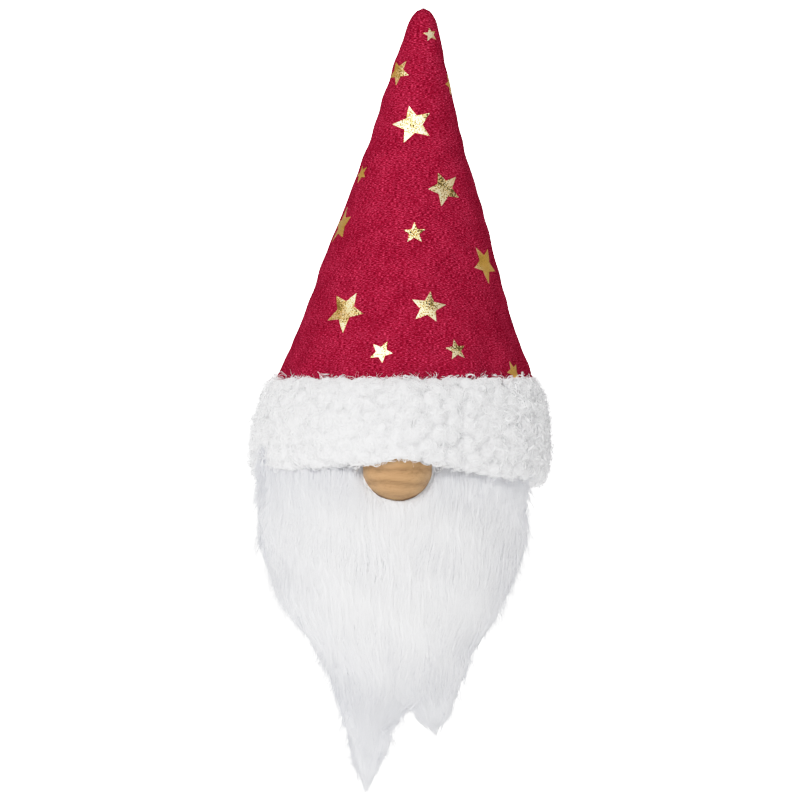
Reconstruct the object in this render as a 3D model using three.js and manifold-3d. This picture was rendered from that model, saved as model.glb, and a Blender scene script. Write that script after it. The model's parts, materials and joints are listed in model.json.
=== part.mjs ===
// A gnome's hat, nose and beard that slip over the neck of a bottle: a soft printed cone hat with a curly plush
// brim, a wooden bead nose on its sewing thread, and a long-pile beard that ends in two points.
//
// Millimetres. +Z is up and the face looks along -Y. The origin is the centre of the felt disc's underside, which
// is where the bottle's mouth bears. The hat leans to +X by LEAN for each millimetre of height.
//
// The hat and the beard are soft and bend anywhere. Here each bends at a few named places, and at each one the two
// sides are separate solids with a round seat or a tapered gap between them.

import * as THREE from 'three';
import { mergeVertices } from 'three/addons/utils/BufferGeometryUtils.js';
import Module from 'manifold-3d';

const wasm = await Module();
wasm.setup();

// ---- driving dimensions ----

const GAP = 0.4; // between neighbouring pieces
const COTTON = 1.0; // printed cotton with its interlining
const FLEECE = 1.2;
const LEAN = 0.053;
const ROUND = 32; // segments round the hat

// The hat's outline, from the hem to the rounded tip: height, radius.
const HAT_OUTLINE = [
  [-42, 46.5], [-25, 44.8], [-13, 39.8], [2, 34.5], [15, 30.4],
  [39, 22.8], [63, 15], [80, 10.4], [94, 7], [103.5, 4.3], [107.4, 0],
];
const HEM_Z = -42;
const HAT_TOP_Z = 107.4;

const NOD_Z = 32; // the hat bends to the front and back about this height
const FLOP_Z = 64; // the tip bends to the sides about this height
const TUCK = COTTON + GAP; // how far a bending part sits inside the part below it
const CUP_ROOM = 2 * GAP; // round a bending part's seat, in the filling below it
const MIDDLE_HEIGHTS = [42, 50, 55]; // where the middle part's cone and filling change slope
const TIP_HEIGHTS = [72, 80, 94]; // the same for the tip

const DISC_THICKNESS = 2;

const BRIM_INNER_R = 46.9;
const BRIM_BACKING = 1.0;
const BRIM_TOP_Z = -24.6;
const BRIM_LOW_Z = -59.5; // before it drops to the back and lifts over the nose
const BRIM_LIFT = 4; // how much higher the brim ends over the nose
const BRIM_DROP = 9; // how much lower it ends at the back than at the front
const BRIM_BULGE = 6.5; // how far the nose pushes the brim out

const BEAD_R = 12.5;
const BEAD_BORE_R = 2.5;
const BEAD = new THREE.Vector3(-3.6, -46, -56.2);
const THREAD_R = 0.6;

const BEARD_X = -5.5; // the middle of the beard
const SHEET_Y = -38; // the front of the beard's knitted backing
const SHEET_BEND = 55; // the radius that the backing is curved to
const KNIT = 1.0;
const PILE = 15; // thickness of the fur in front of the backing
const SWING_Z = -71; // the beard swings about this line
const TAIL_Z = -122; // the two points swing about this line
const YOKE_LOW_Z = SWING_Z + 1.5; // the still part of the beard ends here
const TAIL_Y = -41;

// Half outlines of the beard seen from the front: height, X.
const BEARD_LEFT = [[-58, -54], [-76, -53.5], [-95, -47.5], [-107, -43], [-122, -32]];
const BEARD_RIGHT = [[-58, 43.5], [-76, 43], [-95, 37], [-109, 32], [-122, 23.5]];
const TAIL_LEFT_OUTER = [[-122, -32], [-131, -27], [-152, -21.5], [-166, -18], [-172, -15.5]];
const TAIL_LEFT_INNER = [[-122, 0.3], [-144, 0], [-152, -4.5], [-164, -10], [-172, -14]];
const TAIL_RIGHT_OUTER = [[-122, 23.5], [-133, 18.5], [-145, 15], [-152, 11]];
const TAIL_RIGHT_INNER = [[-122, 1.3], [-145, 1.8], [-152, 9.5]];

// ---- materials ----

function material(color, roughness, metalness = 0) {
  return new THREE.MeshStandardMaterial({ color, roughness, metalness });
}
const CRIMSON_COTTON = material(0xa8183a, 0.9);
const WHITE_FLEECE = material(0xe8e4dc, 1);
const WHITE_PLUSH = material(0xe9e9ea, 1);
const WHITE_FUR = material(0xf0f0f0, 0.9);
const FIBREFILL = material(0xf4f4f0, 1);
const FELT = material(0xb3233f, 1);
const KNITTED = material(0xe2ddd2, 1);
const ELASTIC = material(0xf2f2f2, 0.7);
const RED_THREAD = material(0x8e1430, 0.6);
const WHITE_THREAD = material(0xf2f0ea, 0.6);
const BEECH = material(0xc3986e, 0.55);

// ---- small helpers ----

// The value at x of the straight lines through rows of [x, value].
function along(rows, x) {
  const up = rows[0][0] < rows.at(-1)[0] ? rows : [...rows].reverse();
  if (x <= up[0][0]) return up[0][1];
  for (let i = 1; i < up.length; i++) {
    const [x0, y0] = up[i - 1];
    const [x1, y1] = up[i];
    if (x <= x1) return THREE.MathUtils.mapLinear(x, x0, x1, y0, y1);
  }
  return up.at(-1)[1];
}

const hatRadius = (z) => along(HAT_OUTLINE, z);

// Moves each vertex of a geometry: change(point) alters the Vector3 it is given.
function bend(geometry, change) {
  const position = geometry.getAttribute('position');
  const point = new THREE.Vector3();
  for (let i = 0; i < position.count; i++) {
    change(point.fromBufferAttribute(position, i));
    position.setXYZ(i, point.x, point.y, point.z);
  }
  return geometry;
}

const lean = (geometry) => bend(geometry, (p) => (p.x += LEAN * p.z));

// A solid of revolution about +Z from a profile of [radius, height], leaning with the hat.
function turned(profile, segments = ROUND) {
  const points = profile.map(([r, z]) => new THREE.Vector2(r, z));
  return lean(new THREE.LatheGeometry(points, segments).rotateX(Math.PI / 2));
}

// A ring whose section is the closed loop of [radius, height] points.
const ring = (section, segments = ROUND) => turned([...section, section[0]], segments);

// A closed solid between two grids of points: front(u, v) looks along -Y and back(u, v) along +Y, with u from left
// to right and v from low to high.
function slab(across, up, front, back) {
  const points = [front, back].flatMap((side) =>
    Array.from({ length: (across + 1) * (up + 1) }, (_, k) =>
      side((k % (across + 1)) / across, Math.floor(k / (across + 1)) / up)));
  const at = (side, i, j) => (side * (up + 1) + j) * (across + 1) + i;
  const faces = [];
  const quad = (a, b, c, d) => faces.push(a, b, c, a, c, d);
  for (let j = 0; j < up; j++) {
    for (let i = 0; i < across; i++) {
      quad(at(0, i, j), at(0, i + 1, j), at(0, i + 1, j + 1), at(0, i, j + 1));
      quad(at(1, i, j), at(1, i, j + 1), at(1, i + 1, j + 1), at(1, i + 1, j));
    }
    quad(at(0, 0, j), at(0, 0, j + 1), at(1, 0, j + 1), at(1, 0, j));
    quad(at(0, across, j), at(1, across, j), at(1, across, j + 1), at(0, across, j + 1));
  }
  for (let i = 0; i < across; i++) {
    quad(at(0, i, 0), at(1, i, 0), at(1, i + 1, 0), at(0, i + 1, 0));
    quad(at(0, i, up), at(0, i + 1, up), at(1, i + 1, up), at(1, i, up));
  }
  return new THREE.BufferGeometry().setFromPoints(points).setIndex(faces);
}

// A round thread along a list of points.
function thread(points, radius, steps, sides = 5) {
  const section = new THREE.Shape(Array.from({ length: sides }, (_, k) => {
    const angle = (2 * Math.PI * k) / sides;
    return new THREE.Vector2(radius * Math.cos(angle), radius * Math.sin(angle));
  }));
  const extrudePath = new THREE.CatmullRomCurve3(points, false, 'centripetal');
  return new THREE.ExtrudeGeometry(section, { steps, extrudePath });
}

// ---- joins and cuts ----

function toManifold(geometry) {
  const bare = new THREE.BufferGeometry().setAttribute('position', geometry.getAttribute('position'));
  bare.setIndex(geometry.index);
  const merged = mergeVertices(bare, 1e-4);
  return new wasm.Manifold(new wasm.Mesh({
    numProp: 3,
    vertProperties: new Float32Array(merged.getAttribute('position').array),
    triVerts: new Uint32Array(merged.index.array),
  }));
}

function fromManifold(solid) {
  const { vertProperties, triVerts } = solid.getMesh();
  return new THREE.BufferGeometry()
    .setAttribute('position', new THREE.BufferAttribute(vertProperties, 3))
    .setIndex(new THREE.BufferAttribute(triVerts, 1));
}

const cut = (geometry, tool) => fromManifold(toManifold(geometry).subtract(toManifold(tool)));

// The room that the nose bead needs: a ball a little larger than it.
const beadRoom = () => new THREE.SphereGeometry(BEAD_R + 2 * GAP, 24, 16).translate(BEAD.x, BEAD.y, BEAD.z);

// ---- the hat ----

// The outer radius of a bending part of the hat: tucked in by TUCK at its joint, and on the outline further up.
function bendingRadius(z, jointZ) {
  const seat = hatRadius(jointZ);
  const tucked = 1 - THREE.MathUtils.smoothstep(z, jointZ + 0.6 * seat, jointZ + 0.9 * seat);
  return hatRadius(z) - TUCK * tucked;
}

// Points of a circle about (0, centreZ), from one elevation to another, in degrees.
function arc(radius, centreZ, from, to, steps) {
  return Array.from({ length: steps + 1 }, (_, k) => {
    const angle = THREE.MathUtils.degToRad(THREE.MathUtils.lerp(from, to, k / steps));
    return [Math.max(0, radius * Math.cos(angle)), centreZ + radius * Math.sin(angle)];
  });
}

// The part of the cotton cone that stays still, from the hem to the first bend.
function hatConeLower() {
  const heights = [HEM_Z, -25, -13, 2, 15, NOD_Z - 1];
  const outside = heights.map((z) => [hatRadius(z), z]);
  const inside = heights.map((z) => [hatRadius(z) - COTTON, z]).reverse();
  return ring([...outside, ...inside]);
}

// A part of the cotton cone that bends: a round seat below its joint, and the cone above it.
function bendingCone(jointZ, heights) {
  const seatR = hatRadius(jointZ) - TUCK;
  const skirt = arc(seatR, jointZ, -50, -10, 3);
  const skirtInside = arc(seatR - COTTON, jointZ, -50, -10, 3);
  const outside = heights.map((z) => [bendingRadius(z, jointZ), z]);
  const inside = heights.map((z) => [bendingRadius(z, jointZ) - COTTON, z]);
  return { outside: [...skirt, ...outside], inside: [...skirtInside, ...inside] };
}

function hatConeMiddle() {
  const { outside, inside } = bendingCone(NOD_Z, [NOD_Z, ...MIDDLE_HEIGHTS, FLOP_Z - 3]);
  return ring([...outside, ...inside.reverse()]);
}

function hatConeTip() {
  const { outside, inside } = bendingCone(FLOP_Z, [FLOP_Z, ...TIP_HEIGHTS, 101]);
  return turned([...outside, [3.6, 105.2], [0, HAT_TOP_Z], [0, HAT_TOP_Z - 2 * COTTON], ...inside.reverse(),
    outside[0]]);
}

// The fleece cone inside the cotton, up to the felt disc.
function hatLining() {
  const heights = [HEM_Z, -25, -13, DISC_THICKNESS];
  const out = COTTON + GAP;
  const outside = heights.map((z) => [hatRadius(z) - out, z]);
  const inside = heights.map((z) => [hatRadius(z) - out - FLEECE, z]).reverse();
  return ring([...outside, ...inside]);
}

const discRadius = hatRadius(DISC_THICKNESS) - COTTON - FLEECE - 3 * GAP;

// The felt disc that keeps the filling in and bears on the bottle's mouth.
const stuffingDisc = () => turned([[0, 0], [discRadius, 0], [discRadius, DISC_THICKNESS], [0, DISC_THICKNESS]]);

// Fibrefill between the disc and the first bend, with a round cup for the part above.
function hatStuffingLower() {
  const cupR = hatRadius(NOD_Z) - TUCK + CUP_ROOM;
  const low = DISC_THICKNESS + GAP;
  const wall = (z) => hatRadius(z) - COTTON - GAP;
  const cup = arc(cupR, NOD_Z, -30, -90, 4);
  return turned([[0, low], [wall(low), low], [wall(15), 15], [wall(cup[0][1]), cup[0][1]], ...cup]);
}

// Fibrefill of a bending part: a ball below its joint, the cone above it, and a top made by the caller.
function bendingStuffing(jointZ, heights, top) {
  const inset = COTTON + GAP;
  const ball = arc(hatRadius(jointZ) - TUCK - inset, jointZ, -90, 0, 5);
  const walls = heights.map((z) => [bendingRadius(z, jointZ) - inset, z]);
  return turned([...ball, ...walls, ...top]);
}

function hatStuffingMiddle() {
  const cupR = hatRadius(FLOP_Z) - TUCK + CUP_ROOM;
  const cup = arc(cupR, FLOP_Z, -40, -90, 3);
  return bendingStuffing(NOD_Z, MIDDLE_HEIGHTS, cup);
}

const hatStuffingTip = () => bendingStuffing(FLOP_Z, TIP_HEIGHTS, [[2, 102], [0, 103]]);

// The line of ladder stitches that closes the cone, down the middle of the back.
function backSeamThread(lowZ, highZ) {
  const pitch = 5;
  const proud = 2 * GAP;
  const radius = 0.35;
  const count = Math.round((highZ - lowZ) / pitch);
  const points = Array.from({ length: count + 1 }, (_, k) => {
    const z = THREE.MathUtils.lerp(lowZ, highZ, k / count);
    return new THREE.Vector3(LEAN * z + (k % 2 ? 0.6 : -0.6), hatRadius(z) + proud, z);
  });
  return thread(points, radius, 2 * count, 4);
}

// Flat elastic inside the hem that grips the bottle's neck and shoulder.
function elasticBand() {
  const low = HEM_Z + 2;
  const high = low + 6;
  const outer = hatRadius(high) - COTTON - FLEECE - 3 * GAP;
  return ring([[outer - 0.8, low], [outer, low], [outer, high], [outer - 0.8, high]]);
}

// ---- the brim ----

const frontness = (p) => Math.abs(Math.atan2(p.x - LEAN * p.z - (BEAD.x - LEAN * BEAD.z), -p.y));

// How far the brim's lower edge is moved up or down at a point round the hat.
function brimShift(p) {
  return BRIM_LIFT - BRIM_DROP * Math.sin(frontness(p) / 2);
}

function brimBacking() {
  const [low, high] = [-54.5, -28.6];
  const outer = BRIM_INNER_R + BRIM_BACKING;
  return cut(ring([[BRIM_INNER_R, low], [outer, low], [outer, high], [BRIM_INNER_R, high]]), beadRoom());
}

// The thick curly plush outside the backing, pushed out and up by the nose.
function brimPile() {
  const inner = BRIM_INNER_R + BRIM_BACKING + GAP;
  const section = [[inner, -57], [50, BRIM_LOW_Z], [52.8, -58], [54.8, -54], [54.8, -47], [53.4, -39], [50.8, -31],
    [48.2, -26.6], [46, BRIM_TOP_Z], [45.7, -26], [inner, -28]];
  const pushed = bend(ring(section), (p) => {
    const low = 1 - THREE.MathUtils.smoothstep(p.z, -56, -42);
    const outer = THREE.MathUtils.smoothstep(Math.hypot(p.x, p.y), 49, 52);
    const nearNose = Math.exp(-((frontness(p) / 0.3) ** 2));
    p.z += brimShift(p) * low;
    p.y -= BRIM_BULGE * nearNose * (1 - THREE.MathUtils.smoothstep(p.z, -48, -36)) * outer;
  });
  return cut(pushed, beadRoom());
}

// The running stitch that holds the brim, hat and lining together, seen inside the mouth.
function brimSeamThread() {
  const z = -30;
  const radius = 0.4;
  const r = hatRadius(z) - COTTON - FLEECE - 3 * GAP - radius;
  const waves = 24;
  const openAngle = 0.04; // the two ends of the thread don't meet
  const points = Array.from({ length: 2 * waves + 1 }, (_, k) => {
    const angle = Math.PI / 2 + THREE.MathUtils.lerp(openAngle, 2 * Math.PI - openAngle, k / (2 * waves));
    const height = z + (k % 2 ? 0.9 : -0.9);
    return new THREE.Vector3(LEAN * height + r * Math.cos(angle), r * Math.sin(angle), height);
  });
  return thread(points, radius, 2 * waves, 4);
}

// ---- the nose ----

// A turned wooden ball with a hole from side to side.
function noseBead() {
  const edge = THREE.MathUtils.radToDeg(Math.acos(BEAD_BORE_R / BEAD_R));
  const outside = arc(BEAD_R, 0, -edge, edge, 14);
  const points = [...outside, outside[0]].map(([r, h]) => new THREE.Vector2(r, h));
  return new THREE.LatheGeometry(points, 24).rotateZ(-Math.PI / 2);
}

// The thread that the bead turns on, with its two ends sewn up behind the brim.
function noseThread() {
  const side = (s) => [
    [BEAD.x + s * 17, -39.6, -47],
    [BEAD.x + s * 16, -41, -51],
    [BEAD.x + s * 13.6, -43.5, -55.4],
    [BEAD.x + s * 10, BEAD.y, BEAD.z],
  ];
  const points = [...side(-1), ...side(1).reverse()].map((p) => new THREE.Vector3(...p));
  return thread(points, THREAD_R, 24);
}

// ---- the beard ----

const sheetY = (x) => SHEET_Y + (x - BEARD_X) ** 2 / (2 * SHEET_BEND);

// How far the backing and its tape step back at (x, z) to pass behind the nose.
const noseDent = (x, z) => 8 * Math.exp(-(((x - BEAD.x) / 14) ** 2) - ((z - BEAD.z) / 11) ** 2);

// 1 in the middle of a strip and 0 at its ends, with u from 0 to 1.
const crown = (u, power = 4) => 1 - Math.abs(2 * u - 1) ** power;

// The strip of backing that is sewn inside the brim, dented to pass behind the nose.
function beardYokeBacking() {
  const half = 34;
  const surface = (depth) => (u, v) => {
    const x = BEARD_X + THREE.MathUtils.lerp(-half, half, u);
    const z = THREE.MathUtils.lerp(YOKE_LOW_Z, -45, v);
    return new THREE.Vector3(x, sheetY(x) + noseDent(x, z) + depth, z);
  };
  return slab(18, 5, surface(0), surface(KNIT));
}

// The tape that the strip is stitched through, inside the mouth.
function beardSeamTape() {
  const half = 30;
  const surface = (depth) => (u, v) => {
    const x = BEARD_X + THREE.MathUtils.lerp(-half, half, u);
    const z = THREE.MathUtils.lerp(-51, -46, v);
    return new THREE.Vector3(x, sheetY(x) + noseDent(x, z) + KNIT + GAP + depth, z);
  };
  return slab(18, 1, surface(0), surface(0.8));
}

// The fur of the strip, round the lower half of the nose.
function beardYokePile() {
  const low = YOKE_LOW_Z;
  const place = (u, v) => {
    const x = THREE.MathUtils.lerp(along(BEARD_LEFT, low), along(BEARD_RIGHT, low), u);
    const high = BRIM_LOW_Z - 1 + brimShift(new THREE.Vector3(x, sheetY(x) - PILE, BRIM_LOW_Z));
    return new THREE.Vector3(x, 0, THREE.MathUtils.lerp(low, high, v));
  };
  const front = (u, v) => {
    const p = place(u, v);
    p.y = sheetY(p.x) - 2 - (PILE - 2) * crown(u);
    return p;
  };
  const back = (u, v) => {
    const p = place(u, v);
    p.y = sheetY(p.x) - GAP;
    return p;
  };
  return cut(cut(slab(20, 3, front, back), beadRoom()), threadRoom());
}

// The room that the nose thread needs where it passes the fur.
const threadRoom = () => new THREE.CylinderGeometry(1.5, 1.5, 44, 8).rotateZ(Math.PI / 2)
  .translate(BEAD.x, BEAD.y, BEAD.z);

// How low the top edge of a swinging part starts at x: lower at the sides, so that it can swing back.
const topEdge = (x, hingeZ, drop) => hingeZ - 2 - drop * ((x - BEARD_X) / 48) ** 2;

// The knitted backing of the beard's swinging part, narrowing towards the bottom.
function beardBacking() {
  const low = -112;
  const surface = (depth) => (u, v) => {
    const half = THREE.MathUtils.lerp(14, 34, Math.sqrt(v));
    const x = BEARD_X + THREE.MathUtils.lerp(-half, half, u);
    const z = THREE.MathUtils.lerp(low, topEdge(x, SWING_Z, 6), v);
    return new THREE.Vector3(x, sheetY(x) + depth, z);
  };
  return slab(12, 6, surface(0), surface(KNIT));
}

// The fur in front of the backing. Its top is a wedge, so that it can swing up to the front by 45 degrees.
function beardPile() {
  const low = TAIL_Z + 1.5;
  const place = (u, v) => {
    const guide = THREE.MathUtils.lerp(low, SWING_Z - 2, v);
    const x = THREE.MathUtils.lerp(along(BEARD_LEFT, guide), along(BEARD_RIGHT, guide), u);
    return new THREE.Vector3(x, 0, THREE.MathUtils.lerp(low, topEdge(x, SWING_Z, 9), v));
  };
  const depthBelow = (z) => SWING_Z - z;
  const front = (u, v) => {
    const p = place(u, v);
    const full = 3 + (PILE - 3) * crown(u) * THREE.MathUtils.smoothstep(p.z, TAIL_Z - 8, TAIL_Z + 26);
    p.y = sheetY(p.x) - GAP - Math.min(full, 0.9 * depthBelow(p.z), 1.5 + (p.z - TAIL_Z) * 1.5);
    return p;
  };
  const back = (u, v) => {
    const p = place(u, v);
    p.y = sheetY(p.x) - GAP;
    return p;
  };
  return slab(16, 12, front, back);
}

// One of the two points of fur that the beard ends in, tapered at the top so that it can swing.
function beardTail(outer, inner, lowZ) {
  const place = (u, v) => {
    const guide = THREE.MathUtils.lerp(lowZ, TAIL_Z - 2, v);
    const [left, right] = [along(outer, guide), along(inner, guide)].sort((a, b) => a - b);
    const x = THREE.MathUtils.lerp(left, right, u);
    return new THREE.Vector3(x, 0, THREE.MathUtils.lerp(lowZ, topEdge(x, TAIL_Z, 8), v));
  };
  const middle = (x) => TAIL_Y + (x - BEARD_X) ** 2 / (2 * SHEET_BEND);
  const half = (p, u) => {
    const room = 0.8 * (TAIL_Z - p.z);
    const taper = THREE.MathUtils.lerp(1, 5, (p.z - lowZ) / (TAIL_Z - lowZ));
    return Math.min(taper * (0.35 + 0.65 * crown(u, 2)), room);
  };
  const side = (sign) => (u, v) => {
    const p = place(u, v);
    p.y = middle(p.x) + sign * half(p, u);
    return p;
  };
  return slab(8, 8, side(-1), side(1));
}

// ---- the assembly ----

const gnome = new THREE.Group();

function add(name, geometry, finish) {
  const mesh = new THREE.Mesh(geometry, finish);
  mesh.name = name;
  gnome.add(mesh);
  return mesh;
}

add('hat_cone_lower', hatConeLower(), CRIMSON_COTTON);
add('hat_cone_middle', hatConeMiddle(), CRIMSON_COTTON);
add('hat_cone_tip', hatConeTip(), CRIMSON_COTTON);
add('hat_lining', hatLining(), WHITE_FLEECE);
add('stuffing_disc', stuffingDisc(), FELT);
add('hat_stuffing_lower', hatStuffingLower(), FIBREFILL);
add('hat_stuffing_middle', hatStuffingMiddle(), FIBREFILL);
add('hat_stuffing_tip', hatStuffingTip(), FIBREFILL);
add('back_seam_thread_lower', backSeamThread(-22, 27), RED_THREAD);
add('back_seam_thread_middle', backSeamThread(49, 59), RED_THREAD);
add('back_seam_thread_tip', backSeamThread(68, 100), RED_THREAD);
add('elastic_band', elasticBand(), ELASTIC);
add('brim_backing', brimBacking(), KNITTED);
add('brim_pile', brimPile(), WHITE_PLUSH);
add('brim_seam_thread', brimSeamThread(), WHITE_THREAD);
add('nose_bead', noseBead(), BEECH).position.copy(BEAD);
add('nose_thread', noseThread(), WHITE_THREAD);
add('beard_yoke_backing', beardYokeBacking(), KNITTED);
add('beard_yoke_pile', beardYokePile(), WHITE_FUR);
add('beard_seam_tape', beardSeamTape(), WHITE_THREAD);
add('beard_backing', beardBacking(), KNITTED);
add('beard_pile', beardPile(), WHITE_FUR);
add('beard_tail_left', beardTail(TAIL_LEFT_OUTER, TAIL_LEFT_INNER, -172), WHITE_FUR);
add('beard_tail_right', beardTail(TAIL_RIGHT_OUTER, TAIL_RIGHT_INNER, -152), WHITE_FUR);

export default gnome;
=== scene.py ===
"""A gnome that slips over a bottle's neck: a stuffed crimson hat printed with foil stars, a curly plush
brim, a wooden nose and a long fur beard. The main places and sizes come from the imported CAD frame. Lengths
are in metres: +Z is up, the face looks along -Y, and the hat leans to +X."""

import json
import math

import bpy
import numpy as np
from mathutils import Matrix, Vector
from mathutils.kdtree import KDTree


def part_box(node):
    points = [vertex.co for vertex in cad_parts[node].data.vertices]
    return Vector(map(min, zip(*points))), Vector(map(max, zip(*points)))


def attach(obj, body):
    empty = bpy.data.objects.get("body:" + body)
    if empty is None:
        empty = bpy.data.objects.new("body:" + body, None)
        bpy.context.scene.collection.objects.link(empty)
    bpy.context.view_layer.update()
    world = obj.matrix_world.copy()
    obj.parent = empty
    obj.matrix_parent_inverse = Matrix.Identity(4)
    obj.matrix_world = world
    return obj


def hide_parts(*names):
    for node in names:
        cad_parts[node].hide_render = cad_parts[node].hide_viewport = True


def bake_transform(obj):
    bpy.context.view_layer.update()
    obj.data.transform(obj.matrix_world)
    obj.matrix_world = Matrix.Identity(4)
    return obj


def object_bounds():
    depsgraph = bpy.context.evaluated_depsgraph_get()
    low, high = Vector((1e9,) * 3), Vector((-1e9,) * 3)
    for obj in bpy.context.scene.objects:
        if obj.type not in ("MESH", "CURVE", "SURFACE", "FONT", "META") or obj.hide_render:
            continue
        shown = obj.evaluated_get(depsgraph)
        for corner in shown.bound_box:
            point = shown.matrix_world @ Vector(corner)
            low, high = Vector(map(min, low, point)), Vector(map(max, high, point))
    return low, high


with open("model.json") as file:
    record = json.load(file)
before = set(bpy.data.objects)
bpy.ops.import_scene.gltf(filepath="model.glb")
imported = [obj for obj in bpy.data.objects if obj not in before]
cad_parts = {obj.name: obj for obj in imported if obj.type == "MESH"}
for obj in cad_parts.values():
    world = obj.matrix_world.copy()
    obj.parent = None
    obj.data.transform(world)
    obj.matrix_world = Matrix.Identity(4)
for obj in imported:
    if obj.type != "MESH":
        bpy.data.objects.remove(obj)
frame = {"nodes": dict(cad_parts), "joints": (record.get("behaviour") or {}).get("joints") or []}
cad_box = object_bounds()

MM = 0.001
TURN = 2 * math.pi

# ---- what the frame says ----


def vertex_values(piece, what):
    """What a mesh says of each vertex, as an array: "co" for its place, or "normal"."""
    values = np.empty(len(piece.data.vertices) * 3)
    piece.data.vertices.foreach_get(what, values)
    return values.reshape(-1, 3)


def vertices_of(node):
    return vertex_values(frame["nodes"][node], "co")


joint_at = {joint["name"]: np.array(joint["pos_m"]) for joint in frame["joints"]}
NOD, FLOP = joint_at["hat_nod"], joint_at["hat_tip_flop"]
TAIL_Z = joint_at["tail_left_swing"][2]
BEAD = joint_at["nose_roll"]
LEAN = NOD[0] / NOD[2]  # how far the hat's axis moves to +X for each metre of height

BEAD_R = (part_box("nose_bead")[1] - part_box("nose_bead")[0]).z / 2
BEAD_BORE_R = 2.5 * MM
HEM_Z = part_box("hat_cone_lower")[0].z
HAT_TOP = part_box("hat_cone_tip")[1].z
BRIM_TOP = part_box("brim_pile")[1].z

# The hat's cotton is one cone in two pieces, which meet on a ring with no star on it.
SPLIT_Z = 54 * MM
COTTON = 0.8 * MM
SWING_BEND = (-69 * MM, -90 * MM)  # heights for a bend of the beard, clear of the nose, which the script doesn't make
TAIL_BEND = (-112 * MM, -134 * MM)  # and for a bend of its two points


def off_axis(points):
    """How far points are from the hat's leaning axis."""
    return np.hypot(points[:, 0] - LEAN * points[:, 2], points[:, 1])


def turned_rows(node, lowest):
    """(height, radius) of each ring of a turned CAD node that isn't below a height."""
    points = vertices_of(node)
    radius, z = off_axis(points), points[:, 2]
    near = 0.02 * MM
    levels = [level for level in np.unique(np.round(z, 5)) if level >= lowest]
    return [(level, radius[abs(z - level) < near].max()) for level in levels]


def hat_profile():
    """The hat's smooth outline as two arrays, of heights and of radii."""
    cap = HAT_TOP - 7 * MM  # the rounded tip starts here
    tip_radius, proud = 3.2 * MM, 0.5 * MM  # the cloth stands this proud of the CAD cone
    rows = turned_rows("hat_cone_lower", HEM_Z)
    rows += turned_rows("hat_cone_middle", NOD[2] + 0.9 * rows[-1][1])
    rows += [row for row in turned_rows("hat_cone_tip", FLOP[2] + 14 * MM) if row[0] < cap]
    heights = np.linspace(HEM_Z, HAT_TOP, 600)
    radii = proud + np.interp(heights, *zip(*rows, (HAT_TOP, tip_radius)))
    spread = np.exp(-np.linspace(-2.5, 2.5, 41) ** 2)
    padded = np.pad(radii, 20, mode="edge")
    radii = np.convolve(padded, spread / spread.sum(), mode="valid")
    rise = np.clip((heights - cap) / (HAT_TOP - cap), 0, 1)
    return heights, radii * np.sqrt(1 - rise**2.6)


HAT_HEIGHTS, HAT_RADII = hat_profile()

# ---- numbers that vary, all from one seed ----

random = np.random.default_rng(12)


class Ripples:
    """Smooth random waves over points: a sum of sines of random direction, from -1 to 1 or so."""

    def __init__(self, wavelength, count=7, seed=1):
        rng = np.random.default_rng(seed)
        direction = unit(rng.normal(size=(count, 3)))
        self.waves = direction * (TURN / wavelength) * rng.uniform(0.7, 1.5, (count, 1))
        self.phases = rng.uniform(0, TURN, count)

    def __call__(self, points):
        return np.sin(points @ self.waves.T + self.phases).sum(-1) / math.sqrt(len(self.phases))


def unit(vectors):
    return vectors / np.maximum(np.linalg.norm(vectors, axis=-1, keepdims=True), 1e-12)


def smoothstep(x, low, high):
    t = np.clip((x - low) / (high - low), 0, 1)
    return t * t * (3 - 2 * t)


# ---- meshes ----


def mesh_object(name, points, face_groups, material):
    """A smooth-shaded object from points and arrays of faces, one array for each number of corners."""
    mesh = bpy.data.meshes.new(name)
    corners = np.concatenate([faces.ravel() for faces in face_groups]).astype(np.int32)
    sizes = np.concatenate([np.full(len(faces), faces.shape[1]) for faces in face_groups])
    starts = np.concatenate([[0], np.cumsum(sizes)[:-1]]).astype(np.int32)
    mesh.vertices.add(len(points))
    mesh.vertices.foreach_set("co", np.asarray(points, np.float32).ravel())
    mesh.loops.add(len(corners))
    mesh.loops.foreach_set("vertex_index", corners)
    mesh.polygons.add(len(starts))
    mesh.polygons.foreach_set("loop_start", starts)
    mesh.update(calc_edges=True)
    mesh.shade_smooth()
    mesh.materials.append(material)
    piece = bpy.data.objects.new(name, mesh)
    bpy.context.scene.collection.objects.link(piece)
    return piece


def wrapped_quads(index, wrap_rows, wrap_columns):
    """Quads of a grid of vertex numbers, joined end to end along its rows or columns where asked."""
    rows = np.concatenate([index, index[:1]]) if wrap_rows else index
    grid = np.concatenate([rows, rows[:, :1]], axis=1) if wrap_columns else rows
    return np.stack([grid[:-1, :-1], grid[:-1, 1:], grid[1:, 1:], grid[1:, :-1]], -1).reshape(-1, 4)


def tubes(paths, radii, reference, sides=3):
    """Closed tubes along paths (n, k, 3) with radii (n, k). No path runs along its reference (n, 3).

    Returns their points, and their faces as quads and end caps."""
    n, k = radii.shape
    tangent = unit(np.gradient(paths, axis=1))
    side = unit(np.cross(tangent, np.broadcast_to(reference, (n, 3))[:, None]))
    up = np.cross(side, tangent)
    angle = TURN * np.arange(sides) / sides
    around = np.cos(angle)[:, None] * side[:, :, None] + np.sin(angle)[:, None] * up[:, :, None]
    points = paths[:, :, None] + radii[:, :, None, None] * around
    index = np.arange(n * k * sides).reshape(n, k, sides)
    following = np.roll(index, -1, axis=2)
    quads = np.stack([index[:, :-1], index[:, 1:], following[:, 1:], following[:, :-1]], -1)
    caps = np.concatenate([index[:, 0], index[:, -1, ::-1]])
    return points.reshape(-1, 3), [quads.reshape(-1, 4), caps]


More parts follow.
